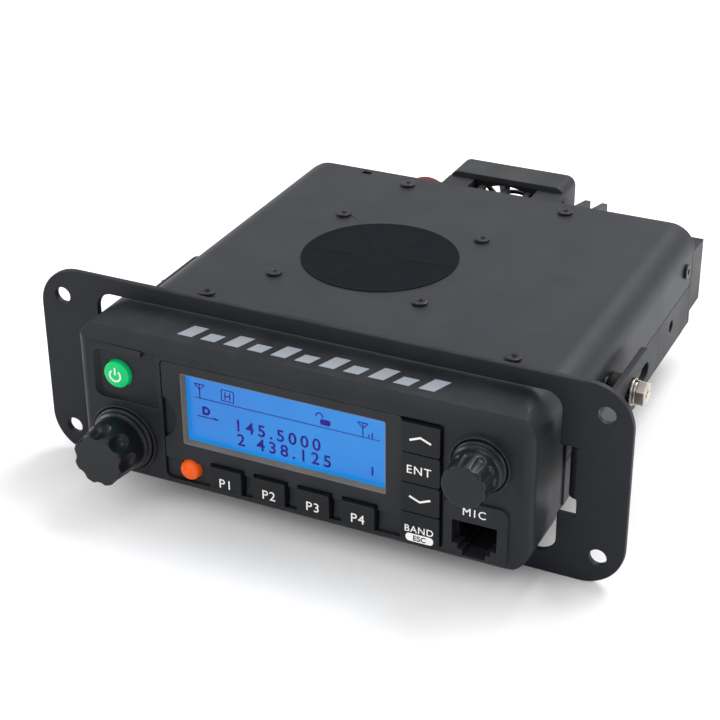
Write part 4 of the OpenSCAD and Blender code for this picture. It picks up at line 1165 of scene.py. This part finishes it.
@dataclass
class LobedKnob:
    """A moulded knob whose grip is scooped into lobes."""

    node: str
    lobes: int
    scoop_r: float
    scoop_depth: float
    scoop_length: float
    face_r: float
    grip_r: float
    body_r: float
    face_share: float = 0.35
    run: float = 1.0

    def build(self) -> None:
        """Turns the knob in one piece and puts it in the CAD node's place."""
        low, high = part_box(self.node)
        centre = (low + high) / 2
        skirt = (high.x - low.x) / 2 / MM
        length = high.y / MM - low.y / MM
        face, rim, steps = self.face_r, 0.42, 48
        profile: list[Point] = [
            (0.0, 0.0), (0.0, face * 0.45),
            (0.0, face - 1.1), (0.0, face - 0.5), (0.12, face - 0.16), (rim, face),
        ]
        waist = length - 3.4
        for step in range(1, steps):
            depth = rim + (waist - rim) * step / steps
            share = min(1.0, depth / max(self.scoop_length, 0.1))
            profile.append((depth, face + (self.grip_r - face) * share))
        body, groove = self.body_r, self.body_r - 0.25
        profile += [
            (waist + 0.2, self.grip_r + 0.1), (waist + 0.7, body), (waist + 1.2, body),
            (waist + 1.3, groove), (waist + 1.5, groove), (waist + 1.6, skirt - 0.35),
            (waist + 1.9, skirt), (length - 0.1, skirt), (length, skirt - 0.15), (length, 0.0),
        ]
        scaled = [(depth * MM, radius * MM) for depth, radius in profile]
        build = revolve(scaled, self.lobes * 24, self._scoop)
        shift(build, Vector((centre.x, low.y, centre.z)))
        piece = finish_piece(f"{self.node}_grip", build, "knob_rubber", body_of(self.node), 50)
        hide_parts(self.node)

    def _scoop(self, depth: float, radius: float, turn: float) -> float:
        """Radius after the scoops, which end in a round bottom.

        Args:
            depth: Distance behind the face.
            radius: Radius without scoops.
            turn: Angle round the axis.

        Returns:
            The radius.
        """
        scoop = self.scoop_r * MM
        middle = self.scoop_length * 0.42 * MM
        if depth > middle:
            share = ((depth - middle) / (self.scoop_length * MM - middle)) ** self.run
        else:
            share = (middle - depth) / middle * self.face_share
        if share >= 1 or radius < 0.6 * self.face_r * MM:
            return radius
        wide = scoop * math.sqrt(1 - share * share)
        reach = self.grip_r * MM + scoop - self.scoop_depth * MM
        pitch = 2 * math.pi / self.lobes
        off = (turn + pitch / 2) % pitch - pitch / 2
        sideways = reach * math.sin(off)
        if abs(sideways) >= wide:
            return radius
        return min(radius, reach * math.cos(off) - math.sqrt(wide * wide - sideways * sideways))


@dataclass
class MicrophoneSocket:
    """The modular socket with its raised panel and legend."""

    def build(self) -> None:
        """Dresses the socket and prints its legend."""
        soften("mic_jack", 0.05)
        WARDROBE.dress_node("mic_contacts")
        build = lettering("MIC", 2.5, (54.0 * MM, -7.0 * MM), 0.04, 0.04, 1.3)
        shift(build, Vector((0, housing_face() - 0.79 * MM, 0)))
        finish_piece("legend_mic", build, "legend_white", "chassis")


@dataclass
class ChassisBody:
    """The casting, the top cover and their screws."""

    def build(self) -> None:
        """Rounds the casting and cover, and dresses every screw."""
        soften("chassis_casting", 0.3, 2)
        soften("rear_heatsink", 0.15, 2)
        soften("top_cover", 0.3, 2)
        for node in ("cover_screws", "side_screws", "housing_screws"):
            soften(node, 0.22, 2)


@dataclass
class TopSpeaker:
    """The speaker under the cover and the cloth over it."""

    spokes: int = 6
    rings: int = 30

    def build(self) -> None:
        """Dresses the hidden parts and lays the cloth over the hub and spokes."""
        for node in ("speaker_frame", "speaker_cone", "speaker_magnet"):
            soften(node, 0.1)
        self._cloth()

    def _cloth(self) -> None:
        """The cloth, pressed down a little between the spokes."""
        low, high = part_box("speaker_cloth")
        centre = (low + high) / 2
        radius = (high.x - low.x) / 2
        build = bmesh.new()
        steps = 180
        previous: list[Vert] = [build.verts.new((centre.x, centre.y, high.z))]
        for ring in range(1, self.rings + 1):
            reach = radius * ring / self.rings
            current = []
            for step in range(steps):
                turn = 2 * math.pi * step / steps
                x, y = centre.x + reach * math.cos(turn), centre.y + reach * math.sin(turn)
                current.append(build.verts.new((x, y, high.z - self._sink(reach / radius, turn))))
            stitch(build, previous, current)
            previous = current
        rim = [build.verts.new((vert.co.x, vert.co.y, low.z)) for vert in previous]
        stitch(build, previous, rim)
        build.faces.new(rim[::-1])
        piece = finish_piece("speaker_cloth_sheet", build, "cloth_black", "chassis", 60)
        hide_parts("speaker_cloth")

    def _sink(self, share: float, turn: float) -> float:
        """How far the cloth sinks between hub, spokes and rim.

        Args:
            share: Distance from the middle over the radius.
            turn: Angle round the middle.

        Returns:
            The depth in metres.
        """
        pitch = 2 * math.pi / self.spokes
        off = abs((turn - math.radians(8) + pitch / 2) % pitch - pitch / 2) * share * 24.7
        spoke = math.exp(-((off / 1.1) ** 2))
        ring = math.exp(-(((share - 0.28) / 0.035) ** 2))
        rim = math.exp(-(((share - 1.0) / 0.06) ** 2))
        inside = 1.0 if share > 0.28 else 0.35
        return 0.2 * MM * (1 - max(spoke * (share > 0.28), ring, rim)) * inside


@dataclass
class RearEnd:
    """The fan, its shroud and the rear sockets."""

    def build(self) -> None:
        """Rounds and dresses every rear piece."""
        edges = {
            "fan_shroud": 0.25, "fan_frame": 0.2, "fan_rotor": 0.15, "fan_screws": 0.2,
            "antenna_socket": 0.2, "antenna_insulator": 0.15, "antenna_contact": 0.1,
            "antenna_cap": 0.5, "dc_inlet": 0.25, "dc_pins": 0.1, "speaker_jack": 0.15,
        }
        for node, width in edges.items():
            soften(node, width, 3 if node == "antenna_cap" else 2)


@dataclass
class Inside:
    """Boards and controls behind the panels."""

    def build(self) -> None:
        """Dresses every hidden node."""
        hidden = (
            "front_pcb", "front_pcb_screws", "tact_switches", "volume_control", "channel_encoder",
            "control_nuts", "ribbon_cable", "main_pcb", "pcb_screws", "shield_cans", "power_module",
            "volume_shaft", "channel_shaft",
        )
        for node in hidden:
            soften(node, 0.08)


# ------------------------------------------------------------------ studio


@dataclass(frozen=True)
class SoftBox:
    """A square studio light that points at a spot."""

    name: str
    place: tuple[float, float, float]
    size: float
    power: float
    aim: tuple[float, float, float] = (0.0, 0.05, 0.0)
    colour: Colour = (1.0, 1.0, 1.0)

    def build(self) -> None:
        """Hangs the light."""
        lamp = bpy.data.lights.new(self.name, "AREA")
        lamp.shape = "SQUARE"
        lamp.size = self.size
        lamp.energy = self.power
        lamp.color = self.colour
        holder = bpy.data.objects.new(self.name, lamp)
        holder.location = self.place
        holder.rotation_mode = "QUATERNION"
        sight = Vector(self.aim) - Vector(self.place)
        holder.rotation_quaternion = sight.to_track_quat("-Z", "Y")
        bpy.context.scene.collection.objects.link(holder)


@dataclass
class Studio:
    """Camera, floor and lights."""

    azimuth: float = 25.716
    elevation: float = 28.502
    roll: float = -0.4526
    place: tuple[float, float, float] = (0.198689, -0.387180, 0.254793)
    lens: float = 88.80
    sensor: float = 36.0
    floor_level: float = 0.03

    def build(self) -> None:
        """Sets up the camera, the floor, the world and the lights."""
        self._camera()
        self._floor()
        self._world()
        for light in (
            SoftBox("key_light", (0.35, 0.75, 1.1), 0.9, 15.0),
            SoftBox("front_fill", (-0.4, -1.2, 1.0), 1.2, 8.0),
            SoftBox("right_strip", (1.2, 0.2, 0.35), 0.7, 5.0),
            SoftBox("left_strip", (-1.2, -0.1, 0.35), 0.6, 6.0),
        ):
            light.build()

    def _camera(self) -> None:
        """Places the camera."""
        turn, rise, roll = (math.radians(value) for value in (self.azimuth, self.elevation, self.roll))
        level_reach = math.cos(rise)
        back = Vector((math.sin(turn) * level_reach, -math.cos(turn) * level_reach, math.sin(rise)))
        level = Vector((math.cos(turn), math.sin(turn), 0.0))
        upright = back.cross(level)
        right = level * math.cos(roll) + upright * math.sin(roll)
        upper = upright * math.cos(roll) - level * math.sin(roll)
        lens = bpy.data.cameras.new("camera")
        lens.lens = self.lens
        lens.sensor_width = self.sensor
        lens.clip_start, lens.clip_end = 0.01, 20.0
        camera = bpy.data.objects.new("camera", lens)
        rotation = Matrix((right, upper, back)).transposed()
        camera.matrix_world = Matrix.Translation(self.place) @ rotation.to_4x4()
        bpy.context.scene.collection.objects.link(camera)
        bpy.context.scene.camera = camera

    def _floor(self) -> None:
        """Lays a wide pale floor just under the plate's lower edge."""
        build = bmesh.new()
        bmesh.ops.create_grid(build, x_segments=8, y_segments=8, size=4.0)
        mesh = bpy.data.meshes.new("floor")
        build.to_mesh(mesh)
        build.free()
        floor = bpy.data.objects.new("floor", mesh)
        floor.location = (0, 0, CAD_BOX[0].z - self.floor_level * MM)
        bpy.context.scene.collection.objects.link(floor)
        mesh.materials.append(Finish("floor_paint", (0.9, 0.9, 0.9), (0.7, 0.8), tint=0.01).make())

    def _world(self) -> None:
        """Gives an even pale surround."""
        world = bpy.data.worlds.new("surround")
        world.use_nodes = True
        sky = world.node_tree.nodes["Background"]
        sky.inputs["Color"].default_value = (1.0, 1.0, 1.0, 1.0)
        sky.inputs["Strength"].default_value = 0.75
        bpy.context.scene.world = world
        bpy.context.scene.view_settings.view_transform = "Standard"


# ------------------------------------------------------------------ assembly


def main() -> None:
    """Builds every sub-assembly in order and reports each one."""
    logging.basicConfig(level=logging.INFO, format="%(name)s: %(message)s")
    pieces: Iterable[object] = (
        Studio(),
        PanelPlate(),
        FrontHousing(),
        Display(),
        KeyPad(),
        DomedButton("power_button", "button_green", 0.5, 0.6, 0.9),
        DomedButton("orange_button", "button_orange", 0.7, 1.5),
        PowerSymbol(),
        LobedKnob("volume_knob", 8, 3.0, 1.55, 7.6, 8.1, 8.4, 9.1),
        LobedKnob("channel_knob", 11, 2.4, 0.6, 7.0, 6.2, 6.6, 7.3, face_share=0.1, run=5.0),
        MicrophoneSocket(),
        ChassisBody(),
        TopSpeaker(),
        RearEnd(),
        Inside(),
    )
    for piece in pieces:
        piece.build()
        LOG.info("built %s", piece)


if __name__ == "__main__":
    main()
